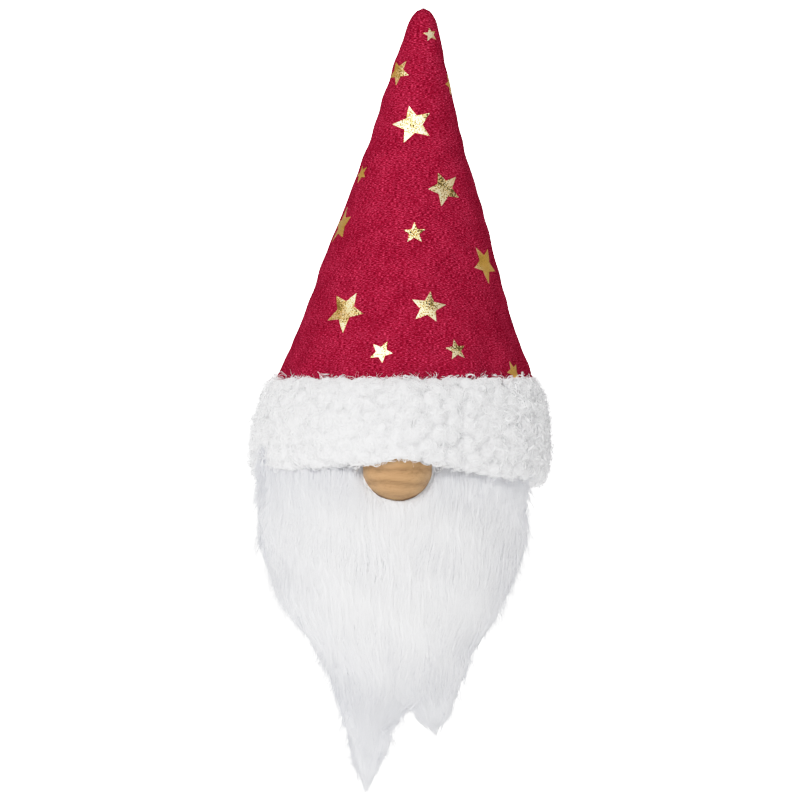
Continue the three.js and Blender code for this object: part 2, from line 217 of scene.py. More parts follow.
def tube_piece(name, paths, radii, reference, material, sides=3, shade=None):
    """One object of closed tubes. Its material reads shade (n,), a number from 0 to 1 for each tube."""
    points, faces = tubes(paths, radii, reference, sides)
    piece = mesh_object(name, points, faces, material)
    if sides == 3:
        piece.data.shade_flat()  # smooth shading swallows light on so few sides
    if shade is not None:
        along = np.broadcast_to(np.linspace(0, 1, radii.shape[1])[None, :, None], (*radii.shape, sides))
        each = np.broadcast_to(shade[:, None, None], (*radii.shape, sides))
        for label, values in (("shade", each), ("along", along)):
            attribute = piece.data.attributes.new(label, "FLOAT", "POINT")
            attribute.data.foreach_set("value", values.astype(np.float32).ravel())
    return piece


def resampled(line, step=None, count=None):
    """Points along straight lines from end to end: count of them, or one every step or so."""
    line = np.array(line, float)
    length = np.concatenate([[0], np.cumsum(np.linalg.norm(np.diff(line, axis=0), axis=1))])
    at = np.linspace(0, length[-1], count or max(2, round(length[-1] / step)))
    return np.stack([np.interp(at, length, column) for column in line.T], -1)


def smooth_loop(loop, count):
    """count points round the closed smooth curve through a loop's points."""
    loop = np.array(loop, float)
    at = np.arange(count) * len(loop) / count
    first = np.floor(at).astype(int)
    t = (at - first)[:, None]
    a, b, c, d = (loop[(first + k) % len(loop)] for k in (-1, 0, 1, 2))
    return b + 0.5 * ((c - a) * t + (2 * a - 5 * b + 4 * c - d) * t**2 + (3 * b - a - 3 * c + d) * t**3)


def axis_point(angle, radius, height):
    """A point about the hat's leaning axis. Angle 0 is the front, and a quarter turn is +X."""
    return np.stack([LEAN * height + radius * np.sin(angle), -radius * np.cos(angle), height + 0 * angle], -1)


def ring(name, section, material, around, place=axis_point):
    """A closed ring from a counter-clockwise section of (radius, height), put at each angle by place()."""
    angle = TURN * np.arange(around) / around
    points = place(angle, section[:, 0][:, None], section[:, 1][:, None])
    index = np.arange(len(section) * around).reshape(-1, around)
    return mesh_object(name, points.reshape(-1, 3), [wrapped_quads(index, True, True)], material)


def turned(name, loop, material, around=160, step=1 * MM, place=axis_point):
    """A ring whose section keeps the loop's straight lines, with a point every step."""
    return ring(name, resampled([*loop, loop[0]], step)[:-1], material, around, place)


def crisp(piece):
    """Keeps the piece's real corners sharp."""
    piece.data.set_sharp_from_angle(angle=math.radians(60))
    return piece


def sheet(name, place, across, up, material):
    """A closed sheet. place(u, v, back) gives points of its front or back, for arrays u and v from 0 to 1."""
    u, v = np.meshgrid(np.linspace(0, 1, across + 1), np.linspace(0, 1, up + 1))
    points = np.concatenate([place(u, v, back).reshape(-1, 3) for back in (False, True)])
    size = (across + 1) * (up + 1)
    index = np.arange(size).reshape(up + 1, across + 1)
    rim = np.concatenate([index[0, :-1], index[:-1, -1], index[-1, :0:-1], index[:0:-1, 0]])
    walls = wrapped_quads(np.stack([rim, rim + size]), False, True)
    quads = wrapped_quads(index, False, False)
    faces = np.concatenate([quads, quads[:, ::-1] + size, walls[:, ::-1]])
    return crisp(mesh_object(name, points, [faces], material))


def apply_modifiers(piece):
    shown = piece.evaluated_get(bpy.context.evaluated_depsgraph_get())
    mesh = bpy.data.meshes.new_from_object(shown)
    piece.modifiers.clear()
    piece.data = mesh


def set_positions(piece, points):
    piece.data.vertices.foreach_set("co", np.asarray(points, np.float32).ravel())
    piece.data.update()


PRESSURE = 3000  # of the filling and the pile: pieces as small and light as these need it to swell at all
SIMULATED_FRAMES = 20


def puffed(piece, cap, held=()):
    """Swells a closed piece with a cloth simulation. Held vertices stay, and none moves more than cap."""
    rest = vertex_values(piece, "co")
    made = piece.modifiers.new("cloth", "CLOTH")
    made.settings.use_pressure = True
    made.settings.uniform_pressure_force = PRESSURE
    made.settings.effector_weights.gravity = 0
    if len(held):
        piece.vertex_groups.new(name="held").add([int(i) for i in held], 1.0, "REPLACE")
        made.settings.vertex_group_mass = "held"
    for step in range(1, SIMULATED_FRAMES + 1):
        bpy.context.scene.frame_set(step)
    apply_modifiers(piece)
    bpy.context.scene.frame_set(1)
    moved = vertex_values(piece, "co") - rest
    far = np.linalg.norm(moved, axis=1, keepdims=True)
    set_positions(piece, rest + moved * np.minimum(1, cap / np.maximum(far, 1e-9)))


# ---- materials ----


def add(tree, kind, inputs=None, **settings):
    """A new shader node with its settings. Each input gets a value, or a link from another node's output."""
    made = tree.nodes.new("ShaderNode" + kind)
    for key, value in settings.items():
        setattr(made, key, value)
    for key, value in (inputs or {}).items():
        give(tree, made.inputs[key], value)
    return made


def give(tree, socket, value):
    if isinstance(value, bpy.types.NodeSocket):
        tree.links.new(value, socket)
    else:
        socket.default_value = value


def maths(tree, operation, *values):
    return add(tree, "Math", dict(enumerate(values)), operation=operation).outputs[0]


def ramp(tree, factor, *stops):
    """A colour ramp through (position, colour) stops."""
    made = add(tree, "ValToRGB", {"Fac": factor})
    elements = made.color_ramp.elements
    while len(elements) < len(stops):
        elements.new(0.5)
    for element, (position, colour) in zip(elements, stops):
        element.position = position
        element.color = (*colour, 1)
    return made.outputs["Color"]


def noise(tree, vector, scale, detail=3.0, roughness=0.55):
    """Noise. scale is one number, or three to stretch it along x, y and z."""
    if isinstance(scale, tuple):
        vector = add(tree, "Mapping", {"Vector": vector, "Scale": scale}).outputs["Vector"]
        scale = 1.0
    inputs = {"Vector": vector, "Scale": scale, "Detail": detail, "Roughness": roughness}
    return add(tree, "TexNoise", inputs).outputs["Fac"]


def bump(tree, height, strength, distance):
    return add(tree, "Bump", {"Height": height, "Strength": strength, "Distance": distance}).outputs["Normal"]


def mixed_colour(tree, share, first, second, **settings):
    first_colour, second_colour, result = 6, 7, 2  # the sockets for colours
    inputs = {"Factor": share, first_colour: first, second_colour: second}
    return add(tree, "Mix", inputs, data_type="RGBA", **settings).outputs[result]


def xyz(tree, vector):
    """The three parts of a vector."""
    return add(tree, "SeparateXYZ", {"Vector": vector}).outputs


def wave(tree, value, wavelength):
    return maths(tree, "SINE", maths(tree, "MULTIPLY", value, TURN / wavelength))


def darker(colour, share):
    return tuple(share * part for part in colour)


def new_material(name):
    """An empty material: its tree, its surface shader and its coordinates."""
    made = bpy.data.materials.new(name)
    made.use_nodes = True
    made.node_tree.nodes.clear()
    shader = add(made.node_tree, "BsdfPrincipled")
    add(made.node_tree, "OutputMaterial", {0: shader.outputs[0]})
    return made, made.node_tree, shader, add(made.node_tree, "TexCoord").outputs


def feed(tree, shader, **inputs):
    """Sets the surface shader's inputs, named with _ for a space."""
    for key, value in inputs.items():
        give(tree, shader.inputs[key.replace("_", " ")], value)


def weave_height(tree, vector, pitch):
    """The height of a plain weave over (x, y): threads cross over and under each other every pitch."""
    threads = [wave(tree, part, 2 * pitch) for part in xyz(tree, vector)[:2]]
    over = maths(tree, "MULTIPLY", *threads)
    ridge = maths(tree, "MAXIMUM", *[maths(tree, "ABSOLUTE", thread) for thread in threads])
    return maths(tree, "MULTIPLY_ADD", over, 0.45, maths(tree, "MULTIPLY", ridge, 0.55))


WEAVE_PITCH = 0.42  # millimetres, as the cloth's UV map is


def crimson_cotton():
    """Heathered cotton: crimson thread with paler flecks along the weft."""
    made, tree, shader, _ = new_material("crimson_cotton")
    cloth = add(tree, "UVMap", uv_map="cloth").outputs["UV"]
    weft = noise(tree, cloth, (1.0, 4.6, 1.0), 1, 0.5)
    warp = noise(tree, cloth, (4.6, 2.2, 1.0), 1, 0.5)
    patches = noise(tree, cloth, 0.12, 2)
    flecks = maths(tree, "MULTIPLY_ADD", warp, 0.25, maths(tree, "MULTIPLY", weft, 0.75))
    fleck = maths(tree, "MULTIPLY_ADD", maths(tree, "SUBTRACT", patches, 0.5), 0.12, flecks)
    colour = ramp(tree, fleck, (0.38, (0.135, 0.0012, 0.010)), (0.47, (0.245, 0.003, 0.019)),
                  (0.53, (0.34, 0.005, 0.030)), (0.62, (0.62, 0.045, 0.115)))
    height = maths(tree, "MULTIPLY_ADD", fleck, 0.8, weave_height(tree, cloth, WEAVE_PITCH))
    feed(tree, shader, Base_Color=colour, Roughness=0.88, Specular_IOR_Level=0.0,
         Normal=bump(tree, height, 0.55, 0.12 * MM))
    return made


def gold_foil():
    """Foil pressed into the weave: bright where flat and bronze where it dips, with a painted reflection that
    turns it orange where it faces away from the view.
    """
    made, tree, shader, _ = new_material("gold_foil")
    cloth = add(tree, "UVMap", uv_map="cloth").outputs["UV"]
    broad = noise(tree, cloth, 0.17, 1, 0.4)
    grain = noise(tree, cloth, 1.9, 1, 0.5)
    mix = maths(tree, "MULTIPLY_ADD", grain, 0.8, maths(tree, "MULTIPLY", broad, 0.6))
    pressed = ramp(tree, mix, (0.60, (0.050, 0.036, 0.010)), (0.63, (0.66, 0.43, 0.12)),
                   (0.69, (0.92, 0.63, 0.22)), (0.73, (1.0, 0.90, 0.62)))
    # Painted reflection: the more the foil faces away from the view, the deeper orange it is painted.
    facing_for_painted_reflection = add(tree, "LayerWeight", {"Blend": 0.5}).outputs["Facing"]
    limits = {"Value": facing_for_painted_reflection, "From Min": 0.18, "From Max": 0.5, "To Max": 0.9}
    share = add(tree, "MapRange", limits).outputs[0]
    colour = mixed_colour(tree, share, pressed, (0.88, 0.47, 0.05, 1))
    height = maths(tree, "MULTIPLY_ADD", grain, 1.2, weave_height(tree, cloth, WEAVE_PITCH))
    feed(tree, shader, Base_Color=colour, Metallic=0.75, Normal=bump(tree, height, 0.5, 0.12 * MM),
         Roughness=maths(tree, "MULTIPLY_ADD", grain, 0.25, 0.2))
    return made


def fibres(name, low, high):
    """White fibres, each a little different, and paler towards the tip. On the beard their shade attribute
    also carries painted shade and a painted shadow.
    """
    made, tree, shader, _ = new_material(name)
    shade = add(tree, "Attribute", attribute_name="shade").outputs["Fac"]
    along = add(tree, "Attribute", attribute_name="along").outputs["Fac"]
    mix = maths(tree, "MULTIPLY_ADD", shade, 0.6, maths(tree, "MULTIPLY", along, 0.4))
    feed(tree, shader, Base_Color=ramp(tree, mix, (0, low), (0.8, high)), Roughness=0.6,
         Specular_IOR_Level=0.15)
    return made


def fur_base(name, dark, pale, grain, height, spread):
    """Dense fur seen as one mass: fine streaks, grain of them per metre along x, y and z. spread is how far
    light travels inside it."""
    made, tree, shader, at = new_material(name)
    streaks = noise(tree, at["Object"], grain, 3, 0.6)
    feed(tree, shader, Base_Color=ramp(tree, streaks, (0.3, dark), (0.6, pale)), Roughness=0.9,
         Specular_IOR_Level=0.1, Subsurface_Weight=1.0, Subsurface_Radius=(1, 1, 1),
         Subsurface_Scale=spread, Normal=bump(tree, streaks, 0.6, height))
    return made


def soft_nap(name, colour, grain, height):
    """Brushed or felted fibre seen from a distance: fine random nap. grain is its scale per metre."""
    made, tree, shader, at = new_material(name)
    nap = noise(tree, at["Object"], grain, 4, 0.7)
    blotch = noise(tree, at["Object"], grain / 9, 2)
    mix = maths(tree, "MULTIPLY_ADD", blotch, 0.5, maths(tree, "MULTIPLY", nap, 0.5))
    feed(tree, shader, Base_Color=ramp(tree, mix, (0.3, darker(colour, 0.72)), (0.65, colour)),
         Roughness=0.95, Specular_IOR_Level=0.1, Normal=bump(tree, nap, 0.7, height))
    return made


def knitted_backing():
    """The back of a pile fabric: fine columns of loops in a warm white."""
    made, tree, shader, at = new_material("knitted_backing")
    x, _, z = xyz(tree, at["Object"])
    column = wave(tree, x, 1.3 * MM)
    zigzag = maths(tree, "MULTIPLY", maths(tree, "ABSOLUTE", column), 0.8)
    rows = maths(tree, "MULTIPLY", z, TURN / (1.0 * MM))
    course = maths(tree, "SINE", maths(tree, "ADD", rows, zigzag))
    loops = maths(tree, "MULTIPLY_ADD", course, 0.25, maths(tree, "MULTIPLY_ADD", column, 0.25, 0.5))
    speck = noise(tree, at["Object"], 900, 3)
    mix = maths(tree, "MULTIPLY_ADD", speck, 0.4, maths(tree, "MULTIPLY", loops, 0.6))
    feed(tree, shader, Base_Color=ramp(tree, mix, (0.15, (0.42, 0.39, 0.34)), (0.7, (0.74, 0.71, 0.64))),
         Roughness=0.95, Specular_IOR_Level=0.1, Normal=bump(tree, loops, 0.8, 0.3 * MM))
    return made


def turned_wood():
    """Sanded beech with fine dark pores along the grain, and rings that show as level bands."""
    made, tree, shader, at = new_material("turned_wood")
    warp = noise(tree, at["Object"], (40.0, 40.0, 90.0), 2)
    level = maths(tree, "MULTIPLY_ADD", warp, 2.2, maths(tree, "MULTIPLY", xyz(tree, at["Object"])[2], 360.0))
    band = maths(tree, "SINE", maths(tree, "MULTIPLY", level, 3.6))
    streak = noise(tree, at["Object"], (90.0, 500.0, 900.0), 4, 0.7)
    pores = noise(tree, at["Object"], (260.0, 2200.0, 3000.0), 2, 0.6)
    grain = maths(tree, "MULTIPLY_ADD", band, 0.14, maths(tree, "MULTIPLY_ADD", streak, 0.75, 0.13))
    colour = ramp(tree, grain, (0.25, (0.28, 0.145, 0.055)), (0.5, (0.42, 0.245, 0.10)),
                  (0.8, (0.50, 0.31, 0.14)))
    dark = ramp(tree, pores, (0.28, (0.74, 0.64, 0.54)), (0.38, (1, 1, 1)))
    colour = mixed_colour(tree, 1.0, colour, dark, blend_type="MULTIPLY")
    feed(tree, shader, Base_Color=colour, Roughness=0.48, Coat_Weight=0.12, Coat_Roughness=0.35,
         Normal=bump(tree, maths(tree, "MULTIPLY_ADD", streak, 0.4, pores), 0.25, 0.08 * MM))
    return made


def spun_thread(name, colour):
    """Two-ply sewing thread: a fine diagonal twist."""
    made, tree, shader, at = new_material(name)
    plies = add(tree, "TexWave", {"Vector": at["Object"], "Scale": 900.0, "Distortion": 1.0},
                bands_direction="DIAGONAL").outputs["Fac"]
    feed(tree, shader, Base_Color=ramp(tree, plies, (0.2, darker(colour, 0.6)), (0.7, colour)),
         Roughness=0.55, Sheen_Weight=0.3, Normal=bump(tree, plies, 0.5, 0.08 * MM))
    return made


def ribbed_tape(name, colour, rib):
    """Woven elastic or tape, with ribs up and down every rib metres round the hat."""
    made, tree, shader, at = new_material(name)
    x, y, z = xyz(tree, at["Object"])
    radius, pick = 40 * MM, 0.7 * MM
    ribs = wave(tree, maths(tree, "ARCTAN2", x, y), rib / radius)
    height = maths(tree, "MULTIPLY_ADD", wave(tree, z, pick), 0.25, maths(tree, "MULTIPLY", ribs, 0.75))
    mix = maths(tree, "MULTIPLY_ADD", height, 0.3, noise(tree, at["Object"], 1200, 2))
    feed(tree, shader, Base_Color=ramp(tree, mix, (0.2, darker(colour, 0.7)), (0.7, colour)), Roughness=0.7,
         Normal=bump(tree, height, 0.6, 0.25 * MM))
    return made


COTTON_CLOTH = crimson_cotton()
FOIL = gold_foil()
CURL_FIBRES = fibres("curl_fibres", (0.74, 0.74, 0.745), (0.915, 0.915, 0.918))
# The beard's grey-blue low colour is also the colour of its painted shade and painted shadow.
BEARD_FIBRES = fibres("beard_fibres", (0.72, 0.727, 0.755), (0.99, 0.99, 0.99))
# Both grounds are greyer than the fibres over them: painted shade deep in the pile, between the loose curls
# and strands.
PLUSH_BASE = fur_base("plush_base", (0.73, 0.73, 0.735), (0.83, 0.83, 0.835), (900.0,) * 3,
                      height=0.3 * MM, spread=3 * MM)
BEARD_BASE = fur_base("beard_base", (0.68, 0.68, 0.695), (0.84, 0.84, 0.85), (1400.0, 1400.0, 90.0),
                      height=0.4 * MM, spread=1.5 * MM)
FLEECE = soft_nap("brushed_fleece", (0.82, 0.79, 0.74), 1100, 0.5 * MM)
FILLING = soft_nap("fibrefill", (0.88, 0.88, 0.86), 700, 0.6 * MM)
FELT = soft_nap("red_felt", (0.44, 0.020, 0.055), 1500, 0.4 * MM)
KNIT = knitted_backing()
WOOD = turned_wood()
WHITE_THREAD = spun_thread("white_thread", (0.86, 0.85, 0.80))
RED_THREAD = spun_thread("red_thread", (0.30, 0.008, 0.035))
ELASTIC = ribbed_tape("woven_elastic", (0.86, 0.85, 0.83), 1.1 * MM)
TAPE = ribbed_tape("cotton_tape", (0.84, 0.82, 0.76), 0.8 * MM)

# ---- the hat's cotton ----

wide_ripple, fine_ripple = Ripples(30 * MM, seed=3), Ripples(12 * MM, seed=4)


def evened(grid, width):
    """A grid averaged over width cells both ways. Its columns go round the hat, so they close."""
    half = width // 2
    wrapped = np.pad(grid, ((half, half), (0, 0)), mode="edge")
    wrapped = np.pad(wrapped, ((0, 0), (half, half)), mode="wrap")
    along = sum(wrapped[i : i + grid.shape[0]] for i in range(width)) / width
    return sum(along[:, i : i + grid.shape[1]] for i in range(width)) / width


def cotton_swell():
    """How far the filling pushes the cotton out, as a fine grid over (height, angle), from a simulation."""
    rows, around, finer = 60, 96, 4
    free_below, most = HAT_TOP - 9 * MM, 1.5 * MM
    level = np.linspace(HEM_Z, HAT_TOP - 1 * MM, rows)[:, None]
    angle = TURN * np.arange(around)[None, :] / around
    start = axis_point(angle, np.interp(level, HAT_HEIGHTS, HAT_RADII), level)
    index = np.arange(rows * around).reshape(rows, around)
    faces = [wrapped_quads(index, False, True), index[:1, ::-1], index[-1:]]
    piece = mesh_object("hat_trial", start.reshape(-1, 3), faces, COTTON_CLOTH)
    held = index[((level < BRIM_TOP) | (level > free_below))[:, 0]]
    puffed(piece, most, held.ravel())
    moved = vertex_values(piece, "co").reshape(start.shape) - start
    out = moved[..., 0] * np.sin(angle) - moved[..., 1] * np.cos(angle)
    bpy.data.objects.remove(piece)
    return evened(evened(np.kron(out, np.ones((finer, finer))), finer + 1), finer + 1)


SWELL = cotton_swell()


def swell_at(angle, height):
    """The simulated swell at places on the hat, from the four cells about each."""
    rows, around = SWELL.shape
    row = np.clip((height - HEM_Z) / (HAT_TOP - HEM_Z), 0, 1) * (rows - 1.001)
    column = (angle / TURN % 1) * around
    r, c = np.floor(row).astype(int), np.floor(column).astype(int)
    up, right = row - r, column - c

    def level(r):
        return SWELL[r, c % around] * (1 - right) + SWELL[r, (c + 1) % around] * right

    return level(r) * (1 - up) + level(r + 1) * up


def hill(distance, width):
    """1 at no distance, and fading to 0 in a soft curve about width wide to each side."""
    return np.exp(-((distance / width) ** 2))


def hat_radius(height):
    return np.interp(height, HAT_HEIGHTS, HAT_RADII)


def hat_point(angle, height, out=0.0):
    """A point of the hat's surface. Inside the brim and at the very tip the cloth is plain."""
    radius = hat_radius(height)
    flat = axis_point(angle, radius, height)
    shown = smoothstep(HAT_TOP - height, 0, 20 * MM)
    shown = shown * smoothstep(height, BRIM_TOP - 14 * MM, BRIM_TOP - 2 * MM)
    ripple = 0.32 * MM * wide_ripple(flat) + 0.16 * MM * fine_ripple(flat)
    low = smoothstep(-height, 2 * MM, -BRIM_TOP)
    crease = -1.3 * MM * hill(radius * (angle - 0.03), 3.5 * MM) * low
    folds = 0.7 * MM * np.sin(angle * 13 + 1.1) * hill(height - BRIM_TOP, 14 * MM) * low
    from_back = radius * np.abs(angle % TURN - math.pi)
    seam = 0.35 * MM * hill(from_back, 5 * MM) - 1.0 * MM * hill(from_back, 1.1 * MM)
    moves = ripple + crease + folds + seam + swell_at(angle, height)
    return axis_point(angle, radius + out + shown * moves, height)


def cloth_place(angle, height):
    """Where a point of the cone lies on the flat cloth, in millimetres. Its grain is straight in front."""
    radius = hat_radius(height)
    slant = (HAT_TOP - height) * 1.06 + 12 * MM
    turn = (((angle + math.pi) % TURN) - math.pi) * radius / slant
    return np.stack([slant * np.sin(turn), -slant * np.cos(turn)], -1) / MM


def give_cloth_map(piece, angle, height):
    """Lays the piece's "cloth" UV map from each vertex's angle and height."""
    place = cloth_place(angle.ravel(), height.ravel()).astype(np.float32)
    corners = np.empty(len(piece.data.loops), np.int32)
    piece.data.loops.foreach_get("vertex_index", corners)
    piece.data.uv_layers.new(name="cloth").data.foreach_set("uv", place[corners].ravel())


def hat_shell(name, low, high):
    """The cotton between two heights, with an outside and an inside."""
    around, rows = 224, round((high - low) / (0.9 * MM))
    level = np.linspace(low, high, rows + 1)[:, None]
    # The seam is at the back, so the columns start there, and the last one closes on the first.
    angle = np.linspace(-math.pi, math.pi, around + 1)[None, :-1]
    outside = hat_point(angle, level)
    inside = hat_point(angle, level, -COTTON)
    points = np.concatenate([outside, inside[::-1]])
    index = np.arange(points.shape[0] * around).reshape(-1, around)
    piece = crisp(mesh_object(name, points.reshape(-1, 3), [wrapped_quads(index, True, True)], COTTON_CLOTH))
    both = np.concatenate([level, level[::-1]])
    give_cloth_map(piece, angle + 0 * both, both + 0 * angle)
    return piece


def blend_hat(piece):
    """Bakes the piece's transform into its mesh."""
    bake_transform(piece)


hat_lower = hat_shell("hat_cotton_lower", HEM_Z + 1.4 * MM, SPLIT_Z)
hat_upper = hat_shell("hat_cotton_upper", SPLIT_Z, HAT_TOP - 0.02 * MM)
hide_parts("hat_cone_lower", "hat_cone_middle")
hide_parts("hat_cone_tip")
for piece, upper in ((hat_lower, False), (hat_upper, True)):
    blend_hat(piece)

# ---- the foil stars ----

# Height, distance across the front from the hat's middle to +X, size over the points and turn in degrees.
FRONT_STARS = [
    (97.8, 3.0, 5.6, 10), (84.2, -7.5, 10.0, 40), (79.8, 11.6, 8.4, 15), (65.3, -1.6, 15.0, 17),
    (47.9, -18.4, 6.7, 30), (42.4, 10.8, 13.4, 21), (29.5, -24.8, 13.9, 10), (26.4, 1.0, 8.0, 2),
    (15.6, 26.4, 14.5, 31), (-1.3, -21.8, 15.9, -26), (-0.1, 7.2, 12.3, -9), (-16.0, -8.4, 8.4, -24),
    (-15.2, 17.7, 7.6, 7), (-23.0, 39.0, 9.0, 20),
]


STAR_INNER = 0.45  # from a star's middle to its inner corners, when it is 1 to its tips


def star(angle, height, size, turn, irregular):
    """A star printed on the hat: points, faces, angles and heights of its closed, slightly raised patch."""
    rings, around_it = 6, 40
    tip = np.arange(around_it) / around_it * 10
    share = tip % 1
    corner = np.arange(11)
    reach = np.where(corner % 2 == 0, 1.0, STAR_INNER) * (1 + 0.07 * irregular[corner % 10])
    spokes = TURN * corner / 10 + math.radians(turn)
    outline = np.stack([reach * np.sin(spokes), reach * np.cos(spokes)], -1) * size / 2
    first = np.floor(tip).astype(int)
    edge = outline[first] * (1 - share[:, None]) + outline[first + 1] * share[:, None]
    flat = np.concatenate([np.zeros((1, 2)), *[edge * (k + 1) / rings for k in range(rings)]])
    around = angle - flat[:, 0] / hat_radius(height)
    level = height + flat[:, 1] * 0.95
    points = np.concatenate([hat_point(around, level, 0.10 * MM), hat_point(around, level, -0.06 * MM)])
    index = 1 + np.arange(rings * around_it).reshape(rings, around_it)
    count = len(flat)
    quads = wrapped_quads(index, False, True)
    fan = np.stack([np.zeros(around_it, int), np.roll(index[0], -1), index[0]], -1)
    wall = wrapped_quads(np.stack([index[-1], index[-1] + count]), False, True)
    faces = [np.concatenate([quads[:, ::-1], quads + count, wall[:, ::-1]]),
             np.concatenate([fan[:, ::-1], fan + count])]
    return points, faces, np.tile(around, 2), np.tile(level, 2)


def fits(angle, height, size, places):
    """Whether a star keeps off the ring where the cotton is split, the seam, the front and other stars."""
    radius = hat_radius(height)
    from_back = radius * abs(angle - math.pi)
    if abs(height - SPLIT_Z) < 0.6 * size or radius < 0.55 * size:
        return False
    if not 0.6 * size < from_back < radius * math.pi / 2 - 0.5 * size:
        return False
    here = hat_point(angle, height)
    return all(math.dist(here, hat_point(a, z)) > 0.5 * (other + size) + 7 * MM for a, z, other, _ in places)


def star_places():
    """Every star as (angle, height, size, turn): those at the front, then more of the same print behind."""
    places = []
    for height, across, size, turn in FRONT_STARS:
        share = np.clip(across * MM / hat_radius(height * MM), -0.97, 0.97)
        places.append((math.asin(share), height * MM, size * MM, turn))
    rng = np.random.default_rng(5)
    tries = 60
    for size in np.tile([14, 7.5, 12, 6.5, 13], 9) * MM:
        for _ in range(tries):
            height, angle = rng.uniform(-26, 98) * MM, rng.uniform(1.35, TURN - 1.35)
            if fits(angle, height, size, places):
                places.append((angle, height, size, rng.uniform(-36, 36)))
                break
    return places


def print_stars():
    rng = np.random.default_rng(6)
    placed = star_places()
    for name, upper in (("foil_stars_lower", False), ("foil_stars_upper", True)):
        made = [star(*place, rng.uniform(-1, 1, 10)) for place in placed if (place[1] > SPLIT_Z) == upper]
        starts = np.cumsum([0] + [len(points) for points, *_ in made])
        points, each_faces, angles, levels = zip(*made)
        faces = [np.concatenate([f[kind] + start for f, start in zip(each_faces, starts)]) for kind in (0, 1)]
        piece = crisp(mesh_object(name, np.concatenate(points), faces, FOIL))
        give_cloth_map(piece, np.concatenate(angles), np.concatenate(levels))
        blend_hat(piece)


print_stars()

# ---- the filling, the back seam and what is inside the mouth ----

lumps = Ripples(9 * MM, seed=8)


def filling(name, low, high):
    """Fibrefill between two heights, a little inside the cotton."""
    rows, around = 40, 72
    level = np.linspace(low, high, rows)[:, None]
    angle = TURN * np.arange(around)[None, :] / around
    points = hat_point(angle, level, -1.6 * MM)
    middle = np.stack([LEAN * level, 0 * level, level], -1)
    points = middle + (points - middle) * (1 - 0.03 * (1 + lumps(points)))[..., None]
    index = np.arange(rows * around).reshape(rows, around)
    faces = [wrapped_quads(index, False, True), index[:1, ::-1], index[-1:]]
    piece = mesh_object(name, points.reshape(-1, 3), faces, FILLING)
    return piece


disc_low, disc_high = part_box("stuffing_disc")
filling_lower = filling("fibrefill_lower", disc_high.z + 0.6 * MM, SPLIT_Z - 0.4 * MM)
filling_upper = filling("fibrefill_upper", SPLIT_Z + 0.4 * MM, HAT_TOP - 5 * MM)
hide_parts("hat_stuffing_lower", "hat_stuffing_middle")
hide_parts("hat_stuffing_tip")
blend_hat(filling_lower)
blend_hat(filling_upper)


def back_stitches(name, low, high, upper, *nodes):
    """Ladder stitches across the back seam: short slanting loops, each a closed length of thread."""
    level = np.arange(low, high, 2.6 * MM)
    across = np.linspace(-1, 1, 9)
    angle = math.pi + across[None, :] * 1.0 * MM / hat_radius(level)[:, None]
    rise = level[:, None] + across[None, :] * 0.5 * MM
    lift = 0.45 * MM * (1 - across**2) - 0.25 * MM * across**4
    paths = hat_point(angle, rise, lift[None, :] + 0 * rise)
    piece = tube_piece(name, paths, np.full(rise.shape, 0.17 * MM), (0, 0, 1), RED_THREAD, 6)
    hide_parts(*nodes)
    blend_hat(piece)


back_stitches("back_stitches_lower", BRIM_TOP + 1 * MM, SPLIT_Z, False,
              "back_seam_thread_lower", "back_seam_thread_middle")
back_stitches("back_stitches_upper", SPLIT_Z + 1 * MM, HAT_TOP - 6 * MM, True, "back_seam_thread_tip")


def napped(amount, seed):
    """Places points about the axis, then moves them in and out a little, for the nap of a soft surface."""
    waves = Ripples(4.5 * MM, 9, seed)

    def place(angle, radius, height):
        points = axis_point(angle, radius, height)
        return points + amount * waves(points)[..., None] * unit(points * (1, 1, 0.2))

    return place


def ride(piece, body, slot, *nodes):
    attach(piece, body)
    if nodes:
        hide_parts(*nodes)


def lining():
    rows = turned_rows("hat_lining", HEM_Z - 1 * MM)
    thick = 1.3 * MM
    outside = [(radius, height) for height, radius in rows]
    inside = [(radius - thick, height) for height, radius in reversed(rows)]
    piece = turned("fleece_lining", [*outside, *inside], FLEECE, place=napped(0.22 * MM, 21))
    ride(piece, "hat", "white_fleece", "hat_lining")


def disc():
    radius = (disc_high.x - disc_low.x) / 2 - 0.3 * MM
    low, high = disc_low.z, disc_high.z
    edge, middle = 0.4 * MM, 0.05 * MM
    loop = [(middle, low), (radius - edge, low), (radius, low + edge), (radius, high - edge),
            (radius - edge, high), (middle, high)]
    piece = turned("felt_disc", loop, FELT, 120, 0.8 * MM, napped(0.10 * MM, 22))
    ride(piece, "hat", "red_felt", "stuffing_disc")


def elastic():
    low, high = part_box("elastic_band")
    (_, outer), *_ = turned_rows("elastic_band", low.z)
    loop = [(outer - 0.8 * MM, low.z), (outer, low.z), (outer, high.z), (outer - 0.8 * MM, high.z)]

    def gathered(angle, radius, height):
        return axis_point(angle, radius + 0.25 * MM * np.sin(64 * angle), height)

    piece = crisp(turned("elastic_band_woven", loop, ELASTIC, 512, 0.4 * MM, gathered))
    ride(piece, "hat", "white_elastic", "elastic_band")


def brim_stitches():
    """The running stitch inside the lining: separate lengths of thread that dip into the fleece."""
    count = 60
    points = vertices_of("brim_seam_thread")
    height, radius = points[:, 2].mean(), off_axis(points).mean()
    across = np.linspace(-1, 1, 9)
    angle = (np.arange(count)[:, None] + 0.33 * across) * TURN / count
    out = radius + 0.9 * MM * across**4 + 0 * angle
    paths = axis_point(angle, out, height)
    piece = tube_piece("brim_stitches", paths, np.full(angle.shape, 0.25 * MM), (0, 0, 1), WHITE_THREAD, 6)
    ride(piece, "hat", "white_thread", "brim_seam_thread")


lining()
disc()
elastic()
brim_stitches()

# ---- the nose ----


